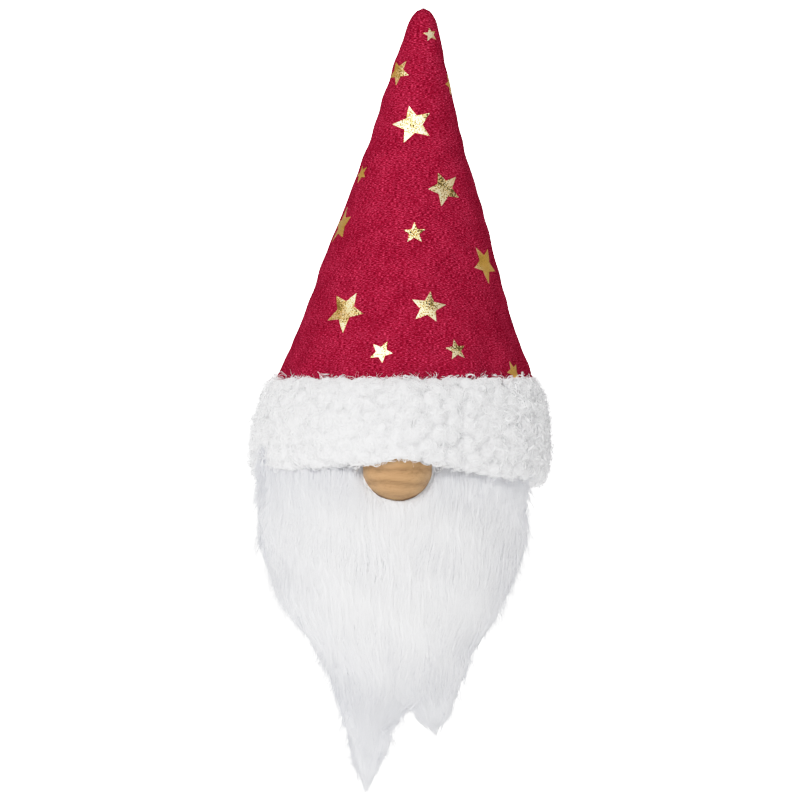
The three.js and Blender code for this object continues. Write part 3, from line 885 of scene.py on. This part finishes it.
def bead():
    """A smooth turned ball with a rounded hole from side to side."""
    edge = math.acos(BEAD_BORE_R / BEAD_R)
    lip = 0.5 * MM
    latitude = np.linspace(-edge + 0.05, edge - 0.05, 72)
    outside = np.stack([BEAD_R * np.cos(latitude), BEAD_R * np.sin(latitude)], -1)
    half = BEAD_R * math.sin(edge)
    bore = [(BEAD_BORE_R, along) for along in np.linspace(0.9, -0.9, 7) * half]
    top = [(BEAD_BORE_R + 0.25 * lip, half - 0.2 * lip), (BEAD_BORE_R, half - lip)]
    bottom = [(radius, -along) for radius, along in reversed(top)]
    section = np.array([*outside, *top, *bore, *bottom])
    around = 128
    angle = TURN * np.arange(around)[None, :] / around
    radius, along = section[:, 0][:, None], section[:, 1][:, None]
    points = np.stack([along + 0 * angle, radius * np.sin(angle), radius * np.cos(angle)], -1) + BEAD
    index = np.arange(len(section) * around).reshape(-1, around)
    quads = wrapped_quads(index, True, True)[:, ::-1]
    piece = mesh_object("wooden_nose", points.reshape(-1, 3), [quads], WOOD)
    ride(piece, "nose", "beech", "nose_bead")


def nose_thread():
    """The bead's thread, from behind the brim through the bore and back."""
    points = vertices_of("nose_thread")
    order = np.argsort(points[:, 0])
    count, end = 60, 5  # points along it, and vertices of its CAD node at each end
    right = [points[order[:end]].mean(0), BEAD + (-13.6 * MM, 2.5 * MM, 0.8 * MM), BEAD - (10 * MM, 0, 0)]
    left = [BEAD + (10 * MM, 0, 0), BEAD + (13.6 * MM, 2.5 * MM, 0.8 * MM), points[order[-end:]].mean(0)]
    path = resampled([*right, *left], count=count)[None]
    radii = np.full((1, count), 0.5 * MM)
    piece = tube_piece("nose_thread_spun", path, radii, (0, 1, 0.3), WHITE_THREAD, 8)
    ride(piece, "hat", "white_thread", "nose_thread")


bead()
nose_thread()

# ---- the brim ----

LUMP = 4.4 * MM  # from one lump of the brim's plush to the next
PLUSH = 0.9 * MM  # how far the loose curls stand proud of it


def surface_samples(piece, count):
    """Random points on a mesh, evenly by area, with their normals."""
    mesh = piece.data
    mesh.calc_loop_triangles()
    corners = np.empty(len(mesh.loop_triangles) * 3, np.int32)
    mesh.loop_triangles.foreach_get("vertices", corners)
    corners = corners.reshape(-1, 3)
    place, facing = vertex_values(piece, "co")[corners], vertex_values(piece, "normal")[corners]
    area = np.linalg.norm(np.cross(place[:, 1] - place[:, 0], place[:, 2] - place[:, 0]), axis=1)
    chosen = random.choice(len(corners), count, p=area / area.sum())
    a, b = random.random((2, count, 1))
    flip = a + b > 1
    a, b = np.where(flip, 1 - a, a), np.where(flip, 1 - b, b)
    share = np.stack([1 - a - b, a, b], 1)
    return (place[chosen] * share).sum(1), unit((facing[chosen] * share).sum(1))


def tree_of(points):
    """Finds the nearest of these points."""
    tree = KDTree(len(points))
    for i, point in enumerate(points):
        tree.insert(point, i)
    tree.balance()
    return tree


def spaced(points, gap):
    """Which points to keep so that no two kept ones are closer than gap."""
    tree = tree_of(points)
    kept = np.ones(len(points), bool)
    for i, point in enumerate(points):
        if kept[i]:
            for _, j, _ in tree.find_range(point, gap):
                if j > i:
                    kept[j] = False
    return kept


def samples_on_brim(ground, count):
    """Samples of the brim's outside, without its inner wall and the pocket that holds the bead."""
    points, outward = surface_samples(ground, count)
    x, y, z = points.T
    from_axis = unit(np.stack([x - LEAN * z, y, 0 * z], -1))
    facing_out = (outward * from_axis).sum(1) > -0.35
    outside_bead = np.linalg.norm(points - BEAD, axis=1) > BEAD_R + 1.6 * MM
    kept = facing_out & outside_bead
    return points[kept], outward[kept]


def angle_of(points):
    """0 at the front and a quarter turn at +X."""
    return np.arctan2(points[:, 0] - LEAN * points[:, 2], -points[:, 1]) % TURN


def brim_measures():
    """The brim's lowest height and greatest radius, as a function of the angle from the front."""
    p = vertices_of("brim_pile")
    angle, radius = angle_of(p), off_axis(p)
    segments = 32
    segment = np.round(angle / TURN * segments).astype(int) % segments
    lows = np.array([p[segment == k, 2].min() for k in range(segments)])
    outs = np.array([radius[segment == k].max() for k in range(segments)])
    at = np.arange(segments + 1) / segments * TURN
    lows, outs = np.append(lows, lows[0]), np.append(outs, outs[0])
    return lambda angle: (np.interp(angle % TURN, at, lows), np.interp(angle % TURN, at, outs))


# The brim's section as (depth, rise), counter-clockwise: depth is 0 at its inner wall and 1 outside, and rise
# is 0 below and 1 on top.
BRIM_SECTION = [
    (0, 0.05), (0.2, 0.01), (0.45, 0), (0.72, 0.03), (0.92, 0.11), (1, 0.24), (0.99, 0.38), (0.9, 0.53),
    (0.72, 0.68), (0.48, 0.81), (0.2, 0.91), (-0.1, 0.97), (-0.3, 0.99), (-0.36, 0.96), (-0.2, 0.92),
    (0, 0.86),
]


def brim_base():
    """The plush's dense ground: the brim's shape, puffed by a simulation and gathered into soft lumps."""
    measures = brim_measures()
    inner = off_axis(vertices_of("brim_backing")).max() + 0.3 * MM
    reach = BEAD_R + 0.6 * MM
    droop = 2.4 * MM  # how much lower it hangs at +X

    def shaped(angle, depth, rise):
        low, out = measures(angle)
        low = low - droop * smoothstep(np.sin(angle), 0.25, 0.8)
        height = low + PLUSH + rise * (BRIM_TOP - low - PLUSH)
        x, y, z = np.moveaxis(axis_point(angle, inner + depth * (out - PLUSH - inner), height), -1, 0)
        # Where the bead is, the whole section moves to the front of it.
        room = reach**2 - (x - BEAD[0]) ** 2 - (z - BEAD[2]) ** 2
        front = BEAD[1] - np.sqrt(np.maximum(room, 0)) - 2.2 * MM * np.clip(depth, 0, 1)
        y = np.where((room > 0) & (y < 0), np.minimum(y, front), y)
        return np.stack([x, y, z], -1)

    piece = ring("brim_ground", smooth_loop(BRIM_SECTION, 44), PLUSH_BASE, 180, shaped)
    puffed(piece, 0.8 * MM)
    made = piece.modifiers.new("finer", "SUBSURF")
    made.levels = made.render_levels = 1
    apply_modifiers(piece)
    points, _ = surface_samples(piece, 12000)
    middles = tree_of(points[spaced(points, LUMP)])
    here = vertex_values(piece, "co")
    away = np.array([middles.find(point)[2] for point in here])
    swell = np.sqrt(np.maximum(0, 1 - (away / (0.8 * LUMP)) ** 2)) - 0.6
    set_positions(piece, here + 1.35 * MM * swell[:, None] * vertex_values(piece, "normal"))
    return piece


def brim_knit():
    """The knitted backing inside the brim. Its lower edge is cut away above the bead."""
    p = vertices_of("brim_backing")
    radius = off_axis(p)
    inner, outer, low, high = radius.min(), radius.max(), p[:, 2].min(), p[:, 2].max()
    reach = BEAD_R + 1.5 * MM

    def arched(angle, radius, height):
        x, y, _ = np.moveaxis(axis_point(angle, radius, height), -1, 0)
        arch = BEAD[2] + np.sqrt(np.maximum(0, reach**2 - (x - BEAD[0]) ** 2))
        start = np.where(y < 0, np.maximum(low, arch), low)
        return axis_point(angle, radius, high - (high - height) * (high - start) / (high - low))

    loop = [(inner, low), (outer, low), (outer, high), (inner, high)]
    piece = crisp(turned("brim_knit", loop, KNIT, 200, place=arched))
    ride(piece, "hat", "knitted_backing", "brim_backing")


def curls(name, anchors, outward):
    """Loops of fine fibres: each anchor gets one spiral, as a few fibres side by side."""
    n, together, steps = len(anchors), 3, 8
    across = unit(np.cross(outward, random.normal(size=(n, 3))))
    other = np.cross(outward, across)
    tilt = random.uniform(-0.9, 0.9, (n, 1))
    rise = np.cos(tilt) * other + np.sin(tilt) * outward
    axis = np.cross(across, rise)
    reach = random.uniform(0.9 * MM, 2.2 * MM, n)
    turns = random.uniform(0.7, 1.3, n) * random.choice([-1, 1], n)
    start = random.uniform(0, TURN, n)
    t = np.linspace(0, 1, steps)
    each = (n, together, 1)
    phase = start[:, None, None] + random.normal(0, 0.3, each) + TURN * turns[:, None, None] * t
    spread = reach[:, None, None] * (1 + random.normal(0, 0.2, each)) * (0.45 + 0.55 * t)
    shift = random.normal(0, 0.35 * MM, (n, together, 1, 3))
    path = anchors[:, None, None] + shift
    path = path + (spread * np.cos(phase))[..., None] * across[:, None, None]
    path = path + (spread * np.sin(phase))[..., None] * rise[:, None, None]
    path = path + (reach[:, None, None] * 0.5 * (t - 0.5))[..., None] * axis[:, None, None]
    path = path.reshape(-1, steps, 3)
    thick = random.uniform(0.08, 0.15, (n * together, 1)) * MM
    radii = thick * (0.25 + 0.75 * np.sin(math.pi * np.clip(t, 0.04, 0.96)) ** 0.6)
    shade = np.repeat(random.uniform(0, 1, n), together)
    return tube_piece(name, path, radii, np.repeat(axis, together, 0), CURL_FIBRES, shade=shade)


def fuzz(name, anchors, outward):
    """Short fine hairs that bend away at random."""
    n = len(anchors)
    direction = unit(outward * 0.9 + random.normal(0, 0.6, (n, 3)))
    bend = np.cross(direction, random.normal(size=(n, 3)))
    t = np.linspace(0, 1, 4)
    reach = random.uniform(1.2 * MM, 3.0 * MM, (n, 1, 1))
    leaving = t[:, None] * direction[:, None] + 0.45 * t[:, None] ** 2 * bend[:, None]
    path = anchors[:, None] + reach * leaving
    radii = 0.06 * MM * (1.0 - 0.8 * t) * np.ones((n, 1))
    shade = random.uniform(0.3, 1, n)
    return tube_piece(name, path, radii, np.cross(direction, bend), CURL_FIBRES, shade=shade)


def quarter_of(points):
    """0 for the front, then 1, 2 and 3 for +X, the back and -X."""
    return np.floor((angle_of(points) / TURN * 4 + 0.5) % 4).astype(int)


def make_brim():
    ground = brim_base()
    ride(ground, "hat", "white_plush", "brim_pile")
    points, outward = samples_on_brim(ground, 30000)
    kept = spaced(points, 1.75 * MM)
    points, outward = points[kept], outward[kept]
    hair_points, hair_outward = samples_on_brim(ground, 13000)
    quarter, hair_quarter = quarter_of(points), quarter_of(hair_points)
    for i, side in enumerate(("front", "left", "back", "right")):
        mine, hairs = quarter == i, hair_quarter == i
        depth = random.uniform(-0.5, 0.5, (mine.sum(), 1)) * MM
        anchors = points[mine] + depth * outward[mine]
        ride(curls(f"brim_curls_{side}", anchors, outward[mine]), "hat", "white_plush")
        ride(fuzz(f"brim_fuzz_{side}", hair_points[hairs], hair_outward[hairs]), "hat", "white_plush")
    brim_knit()


make_brim()

# ---- the beard ----

knit = vertices_of("beard_backing")
SHEET = np.polyfit(knit[:, 0], knit[:, 1], 2)  # the backing's y as a parabola in x
BEARD_X = -SHEET[1] / (2 * SHEET[0])  # its middle
SHEET_Y = np.polyval(SHEET, BEARD_X)
PILE = SHEET_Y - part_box("beard_pile")[0].y
BEARD_LOW = min(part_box("beard_tail_left")[0].z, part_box("beard_tail_right")[0].z)


class Outline:
    """The left and right edges of some CAD nodes seen from the front, by height. They only widen upwards."""

    def __init__(self, *nodes):
        points = np.concatenate([vertices_of(node) for node in nodes])
        bins = np.round(points[:, 2] / (3 * MM)).astype(int)
        self.sides = []
        for sign, widen in ((1, np.minimum.accumulate), (-1, np.maximum.accumulate)):
            rows = []
            for each in np.unique(bins):
                inside = points[bins == each]
                rows.append(inside[np.argmin(sign * inside[:, 0])])
            x, _, z = np.array(sorted(rows, key=lambda row: row[2])).T
            self.sides.append((z, widen(x)))

    def left(self, z):
        return np.interp(z, *self.sides[0])

    def right(self, z):
        return np.interp(z, *self.sides[1])


whole = Outline("beard_yoke_pile", "beard_pile", "beard_tail_left", "beard_tail_right")
left_tail, right_tail = Outline("beard_tail_left"), Outline("beard_tail_right")
PARTING = (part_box("beard_tail_left")[1].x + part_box("beard_tail_right")[0].x) / 2
NOTCH_Z = -139.5 * MM  # the two points hang apart below this height
OVERLAP = 5 * MM  # above it, each of them reaches past the parting by this much
EDGE_INSET = 0.7 * MM  # the fringe of the edges stands out from here
GROUND_SHARE = 0.8  # how much of the fur's depth is a dense mass, under the loose strands


def fur_depth(x, z):
    """How thick the fur is in front of the backing."""
    full = np.interp(z, [BEARD_LOW, -150 * MM, TAIL_Z, -100 * MM, -78 * MM, -55 * MM],
                     [2 * MM, 5.5 * MM, 10 * MM, 0.93 * PILE, PILE, 0.72 * PILE])
    left, right = whole.left(z), whole.right(z)
    across = np.clip(2 * (x - left) / (right - left) - 1, -1, 1)
    return full * (0.30 + 0.70 * np.sqrt(1 - np.abs(across) ** 2.4))


def beard_edges(z, tail):
    """The left and right edges that fur keeps between, for the whole beard or for its left or right tail."""
    left, right = whole.left(z) + EDGE_INSET, whole.right(z) - EDGE_INSET
    meet = smoothstep(z, NOTCH_Z - 5 * MM, NOTCH_Z + 3 * MM)
    if tail == "left":
        inner = left_tail.right(z) - EDGE_INSET
        right = inner + (PARTING + OVERLAP - inner) * meet
    if tail == "right":
        inner = right_tail.left(z) + EDGE_INSET
        left = inner + (PARTING - OVERLAP - inner) * meet
    return left, np.maximum(right, left + 0.5 * MM)


waviness = Ripples(26 * MM, 6, 31)
HAIR = 0.085 * MM  # radius
STEPS = 5
WISP = 2.6 * MM  # from one wisp to the next


def round_the_nose(path):
    """Moves fur off the bead, straight away from its middle and rather down than up."""
    room = BEAD_R + 0.5 * MM
    x, y, z = np.moveaxis(path - BEAD, -1, 0)
    reach = np.sqrt(np.maximum(0, room**2 - y**2))
    far = np.hypot(x, z)
    down = unit(np.stack([x, z - 4 * MM], -1)) * np.maximum(reach, far)[..., None]
    inside = (far < reach)[..., None]
    return path + np.where(inside, np.stack([down[..., 0] - x, 0 * x, down[..., 1] - z], -1), 0)


def hanging(x, z, length, tail, start, end, t, shift):
    """Points of hairs that hang from (x, z), from a share of the fur's depth at the root to another at the
    tip. shift is how far each tip lies to +X of where it would hang."""
    level = z[:, None] - length[:, None] * t
    left, right = beard_edges(z, tail)
    share = ((x - left) / (right - left))[:, None]
    left, right = beard_edges(level, tail)
    across = x[:, None] + 0.4 * (left + share * (right - left) - x[:, None])
    flat = np.stack([across, 0 * across, level], -1)
    across = across + 2.1 * MM * waviness(flat) * t + shift[:, None] * t**1.5
    depth = start[:, None] + (end - start)[:, None] * t**0.7
    inside = np.clip(across, left, right)
    return np.stack([across, np.polyval(SHEET, across) - depth * fur_depth(inside, level), level], -1)


def strands(x, z, length, tail, layer):
    """Paths of single hairs. Their tips draw together into wisps, and they end where they leave the beard's
    outline. layer gives the lowest and highest share of the fur's depth at the roots, then at the tips."""
    count, probes = len(x), 16
    row = np.floor(z / (6 * MM))
    place = x / WISP + 0.618 * row
    pull = (np.floor(place) + 0.5 - place) * WISP * random.uniform(0.1, 0.9, count)
    shift = pull + random.normal(0, 1.2 * MM, count)
    start, end = random.uniform(*layer[0], count), random.uniform(*layer[1], count)
    probe = hanging(x, z, length, tail, start, end, np.linspace(0, 1, probes), shift)
    left, right = beard_edges(probe[..., 2], tail)
    over = random.uniform(-1.5, 0.6, (count, 1)) * MM
    outside = (probe[..., 0] < left - over) | (probe[..., 0] > right + over)
    stop = np.where(outside.any(1), outside.argmax(1) / (probes - 1), 1)
    return hanging(x, z, length * np.maximum(stop, 0.25), tail, start, end, np.linspace(0, 1, STEPS), shift)


def edge_locks(root_z, tail, lowest):
    """Paths of the locks along the open edges: each one's hairs draw together to a tip outside the edge."""
    hairs = 12
    roots = np.arange(*root_z, 1.1 * MM)
    side = np.repeat([-1, 1], len(roots))
    z = np.tile(roots, 2) + random.uniform(-1, 1, len(side)) * MM
    inner = {"": 0, "left": 1, "right": -1}[tail]
    open_edge = (side != inner) | (z < NOTCH_Z + 5 * MM)
    side, z = side[open_edge], z[open_edge]
    length = np.maximum(np.minimum(random.uniform(6, 13, len(side)) * MM, z - lowest), 2 * MM)
    left, right = beard_edges(z - 0.8 * length, tail)
    room = np.clip((right - left) / (14 * MM), 0.15, 1)  # locks are finer where a tail comes to its point
    out = random.exponential(1.6, len(side)) * room * MM
    height = random.uniform(0.05, 0.9, len(side))
    each = (len(side), hairs, 1)
    t = np.linspace(0, 1, STEPS)
    wide = random.normal(0, 1, each) * (1.0 - 0.9 * t**1.3) * room[:, None, None] * MM
    level = z[:, None, None] - length[:, None, None] * t * random.uniform(0.8, 1, each)
    left, right = beard_edges(level, tail)
    edge = np.where(side[:, None, None] < 0, left, right)
    leaving = np.minimum(out, 3.6 * MM)[:, None, None] * t**1.6 - 2 * MM * (1 - t) ** 1.5
    across = edge + side[:, None, None] * leaving + wide
    inside = np.clip(across, left, right)
    depth = (height[:, None, None] + random.normal(0, 0.15, each) * (1 - 0.7 * t)) * fur_depth(inside, level)
    path = np.stack([across, np.polyval(SHEET, across) - depth, level], -1)
    return path.reshape(-1, STEPS, 3)


def tone_with_painted_shade(points):
    """How pale strands are: each a random tone, with painted shade that makes them palest in the middle and
    greyer at the edges and the ends, and a painted shadow under the brim.
    """
    x, _, z = points.T
    left, right = whole.left(z), whole.right(z)
    # Painted shade: 1 in the middle of the beard, falling to 0 at its left and right edges.
    middle = 1 - np.clip(np.abs(2 * (x - left) / (right - left) - 1), 0, 1) ** 3
    pale = 0.5 * middle + 0.5 * random.random(len(points))
    # Painted shadow just under the brim, and painted shade towards the ends of the points.
    clear_of_painted_brim_shadow, painted_shade_at_ends = smoothstep(-z, 56 * MM, 72 * MM), smoothstep(-z, 105 * MM, 145 * MM)
    return pale * (0.35 + 0.65 * clear_of_painted_brim_shadow) * (1 - 0.85 * painted_shade_at_ends)


def tip_hairs(tail, lowest):
    """Paths of the hairs that draw together to the point of a tail."""
    count = 420
    z = lowest + random.uniform(7, 22, count) * MM
    left, right = beard_edges(z, tail)
    x = left + (right - left) * random.uniform(0.1, 0.9, count)
    left, right = beard_edges(lowest + 1 * MM, tail)
    end_x = (left + right) / 2 + random.normal(0, 0.5, count) * MM
    end_z = lowest + random.exponential(1.6, count) * MM
    t = np.linspace(0, 1, STEPS)
    across = x[:, None] + (end_x - x)[:, None] * t**1.3
    level = z[:, None] + (end_z - z)[:, None] * t
    left, right = beard_edges(level, tail)
    depth = random.uniform(0.1, 0.95, (count, 1)) * fur_depth(np.clip(across, left, right), level)
    return np.stack([across, np.polyval(SHEET, across) - depth, level], -1)


FRONT = (0.55, GROUND_SHARE), (GROUND_SHARE + 0.03, 0.99)
BACK = (0.02, 0.08), (-0.06, 0.04)


def hang(piece):
    """Bakes a piece of the beard's transform into its mesh."""
    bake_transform(piece)


def fur_piece(name, count, root_z, lengths, tail, lowest, layer):
    """A part of the beard as one object: strands with roots between two heights and tips not below lowest."""
    z = random.uniform(*root_z, count)
    left, right = beard_edges(z, tail)
    x = left + (right - left) * random.random(count)
    lowest_tips = lowest + random.uniform(*((2, 7) if tail else (0, 12)), count) * MM
    length = np.maximum(np.minimum(random.uniform(*lengths, count), z - lowest_tips), 3 * MM)
    path = strands(x, z, length, tail, layer)
    if layer is FRONT:
        path = round_the_nose(np.concatenate([path, edge_locks(root_z, tail, lowest)]))
        reaches_tip = tail and root_z[0] - lowest < 15 * MM
        if reaches_tip:
            path = np.concatenate([path, tip_hairs(tail, lowest)])
    t = np.linspace(0, 1, STEPS)
    thick = HAIR * random.uniform(0.7, 1.2, (len(path), 1))
    radii = thick * np.interp(t, [0, 0.25, 0.6, 1], [0.7, 1, 0.8, 0.12])
    # Each strand's random tone, with the painted shade and shadow.
    shade = tone_with_painted_shade(path[:, STEPS // 2])
    hang(tube_piece(name, path, radii, (0, 1, 0), BEARD_FIBRES, shade=shade))


def fur_ground(name, low, high, tail, bend, *nodes):
    """The dense fur under the loose strands, as one closed form."""

    def place(u, v, back):
        z = low + (high - low) * v
        left, right = beard_edges(z, tail)
        middle, half = (left + right) / 2, np.maximum((right - left) / 2 - 1.4 * MM, 0.3 * MM)
        x = middle + half * (2 * u - 1)
        rounded = np.sqrt(np.maximum(1 - np.abs(2 * u - 1) ** 4, 0.02))
        ends = 0.35 + 0.65 * smoothstep(v, 0, 0.2) * (smoothstep(1 - v, 0, 0.2) if tail else 1)
        ground = GROUND_SHARE * fur_depth(x, z) * rounded * ends
        depth = np.where(back, 0.12 * ground, ground)
        point = np.stack([x, np.polyval(SHEET, x) - depth, z], -1)
        away = point - BEAD
        near = np.maximum(0, BEAD_R + 0.8 * MM - np.linalg.norm(away, axis=-1))[..., None]
        return point + (0, 1, 0) * near * 1.6

    piece = sheet(name, place, 72, 48, BEARD_BASE)
    hang(piece)
    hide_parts(*nodes)


def behind_the_bead(x, z):
    """How far back the knit and the tape are pressed by the bead."""
    return 8 * MM * np.exp(-(((x - BEAD[0]) / (14 * MM)) ** 2) - ((z - BEAD[2]) / (11 * MM)) ** 2)


SWING = (("hat", "beard"), SWING_BEND)
LEFT = (("beard", "beard_tail_left"), TAIL_BEND)
RIGHT = (("beard", "beard_tail_right"), TAIL_BEND)


def beard_knit():
    """The knitted backing, from the seam inside the brim to its narrow lower end."""
    low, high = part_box("beard_backing")[0].z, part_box("beard_yoke_backing")[1].z
    half_low = 14 * MM
    half_high = (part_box("beard_yoke_backing")[1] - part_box("beard_yoke_backing")[0]).x / 2

    def place(u, v, back):
        z = low + (high - low) * v
        rounded = np.sqrt(1.01 - (1 - np.clip(v / 0.13, 0, 1)) ** 2)
        half = rounded * (half_low + (half_high - half_low) * np.sqrt(np.clip(v * 1.7, 0, 1)))
        x = BEARD_X + half * (2 * u - 1)
        y = np.polyval(SHEET, x) + np.where(back, 0.5 * MM, -0.5 * MM)
        return np.stack([x, y + behind_the_bead(x, z), z], -1)

    piece = sheet("beard_knit", place, 60, 60, KNIT)
    hang(piece)
    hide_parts("beard_backing", "beard_yoke_backing")


def seam_tape():
    """The tape that the beard is stitched through, inside the mouth."""
    low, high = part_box("beard_seam_tape")
    thick = 0.8 * MM

    def place(u, v, back):
        x = low.x + (high.x - low.x) * u
        z = low.z + (high.z - low.z) * v
        y = np.polyval(SHEET, x) + behind_the_bead(x, z) + 0.9 * MM + np.where(back, thick, 0)
        return np.stack([x, y, z], -1)

    ride(sheet("cotton_tape", place, 90, 8, TAPE), "hat", "white_elastic", "beard_seam_tape")


def make_beard():
    """The knit, the dense grounds, and the loose fur over their front and back."""
    left_low, right_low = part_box("beard_tail_left")[0].z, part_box("beard_tail_right")[0].z
    beard_knit()
    fur_ground("beard_ground_upper", -108 * MM, -54 * MM, "", SWING, "beard_yoke_pile", "beard_pile")
    fur_ground("beard_ground_left", left_low + 16 * MM, -88 * MM, "left", LEFT, "beard_tail_left")
    fur_ground("beard_ground_right", right_low + 8 * MM, -88 * MM, "right", RIGHT, "beard_tail_right")
    # Count, lowest and highest root, shortest and longest hair, tail, lowest tip, bend and layer.
    parts = {
        "top": (7000, -62, -48, 16, 30, "", -112 * MM, SWING, FRONT),
        "upper": (7000, -84, -60, 14, 26, "", -112 * MM, SWING, FRONT),
        "middle": (5500, -98, -84, 14, 26, "", -118 * MM, SWING, FRONT),
        "left": (6200, -122, -92, 12, 26, "left", left_low, LEFT, FRONT),
        "left_tip": (4800, -160, -122, 12, 26, "left", left_low, LEFT, FRONT),
        "right": (5500, -144, -92, 12, 26, "right", right_low, RIGHT, FRONT),
        "back_upper": (4000, -92, -50, 14, 26, "", -118 * MM, SWING, BACK),
        "back_left": (3500, -160, -88, 12, 26, "left", left_low, LEFT, BACK),
        "back_right": (3000, -144, -88, 12, 26, "right", right_low, RIGHT, BACK),
    }
    for part, (count, low, high, shortest, longest, tail, lowest, bend, layer) in parts.items():
        roots, lengths = (low * MM, high * MM), (shortest * MM, longest * MM)
        fur_piece(f"beard_fur_{part}", count, roots, lengths, tail, lowest, layer)


make_beard()
seam_tape()

# ---- floor, light and camera ----


def stage_material():
    """A matt floor that the camera sees almost white, and doesn't see at all from below."""
    made, tree, shader, _ = new_material("pale_floor")
    seen = add(tree, "LightPath").outputs["Is Camera Ray"]
    feed(tree, shader, Base_Color=(0.93, 0.93, 0.93, 1), Roughness=0.9, Emission_Color=(1, 1, 1, 1),
         Emission_Strength=maths(tree, "MULTIPLY_ADD", seen, 1.3, 0.35))
    below = add(tree, "NewGeometry").outputs["Backfacing"]
    clear = add(tree, "BsdfTransparent")
    mixed = add(tree, "MixShader", {0: below, 1: shader.outputs[0], 2: clear.outputs[0]})
    give(tree, tree.get_output_node("ALL").inputs[0], mixed.outputs[0])
    return made


def make_stage():
    """A wide pale floor just under the object."""
    floor_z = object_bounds()[0].z - 2 * MM
    half = 6.0
    points = np.array([(x * half, y * half, floor_z) for x, y in ((-1, -1), (1, -1), (1, 1), (-1, 1))])
    mesh_object("floor", points, [np.array([[0, 1, 2, 3]])], stage_material())


def area_light(name, place, target, size, power):
    data = bpy.data.lights.new(name, "AREA")
    data.shape, data.size, data.energy = "DISK", size, power
    light = bpy.data.objects.new(name, data)
    light.location = place
    light.rotation_euler = (Vector(target) - Vector(place)).to_track_quat("-Z", "Y").to_euler()
    bpy.context.scene.collection.objects.link(light)
    return light


def make_world():
    world = bpy.data.worlds.new("studio")
    world.use_nodes = True
    tree = world.node_tree
    tree.nodes.clear()
    glow = add(tree, "Background", {"Color": (1, 1, 1, 1), "Strength": 0.32})
    white = add(tree, "Background", {"Color": (1, 1, 1, 1), "Strength": 3.0})
    seen = add(tree, "LightPath").outputs["Is Camera Ray"]
    mixed = add(tree, "MixShader", {0: seen, 1: glow.outputs[0], 2: white.outputs[0]})
    add(tree, "OutputWorld", {0: mixed.outputs[0]})
    bpy.context.scene.world = world


def make_camera():
    """Straight ahead through a long lens, at the height of the object's middle."""
    low, high = cad_box
    middle = Vector((-2.7 * MM, 0, (low.z + high.z) / 2 - 0.6 * MM))
    data = bpy.data.cameras.new("camera")
    data.lens, data.sensor_width = 400, 36
    width = 286.4 * MM  # of the picture, where the hat's axis is
    camera = bpy.data.objects.new("camera", data)
    camera.location = middle + Vector((0, -width * data.lens / data.sensor_width, 0))
    camera.rotation_euler = (math.pi / 2, 0, 0)
    bpy.context.scene.collection.objects.link(camera)
    bpy.context.scene.camera = camera


def make_response():
    """Shows light as a camera does: the brightest whites draw together."""
    view = bpy.context.scene.view_settings
    view.view_transform = "Standard"
    view.use_curve_mapping = True
    brightest = 2.0
    mapping = view.curve_mapping
    mapping.white_level = (brightest,) * 3
    curve = mapping.curves[3]  # the one for red, green and blue together
    for light, shown in ((0.2, 0.2), (0.45, 0.45), (0.7, 0.71), (0.9, 0.84), (1.1, 0.92), (1.5, 0.985)):
        curve.points.new(light / brightest, shown)
    mapping.use_clip = False
    curve.points[-1].location = (1, 1.03)
    mapping.update()


def make_lights():
    middle = (0, 0, -0.03)
    area_light("key", (-0.58, -1.8, 0.95), middle, 1.0, 29)
    area_light("fill", (1.6, -0.9, 0.2), middle, 1.2, 1.6)
    area_light("top", (-0.2, -0.2, 1.6), middle, 1.0, 4)
    area_light("back", (0.1, 2.0, 0.7), middle, 1.2, 17)
    card = area_light("card", (-1.7, -1.4, 0.7), (0, 0, 0.03), 1.6, 14)
    card.visible_diffuse = False  # only the foil and the wood show it
    # Light that goes on between white fibres keeps them white.
    bpy.context.scene.cycles.max_bounces = 16
    bpy.context.scene.cycles.diffuse_bounces = 14


make_stage()
make_lights()
make_world()
make_camera()
make_response()
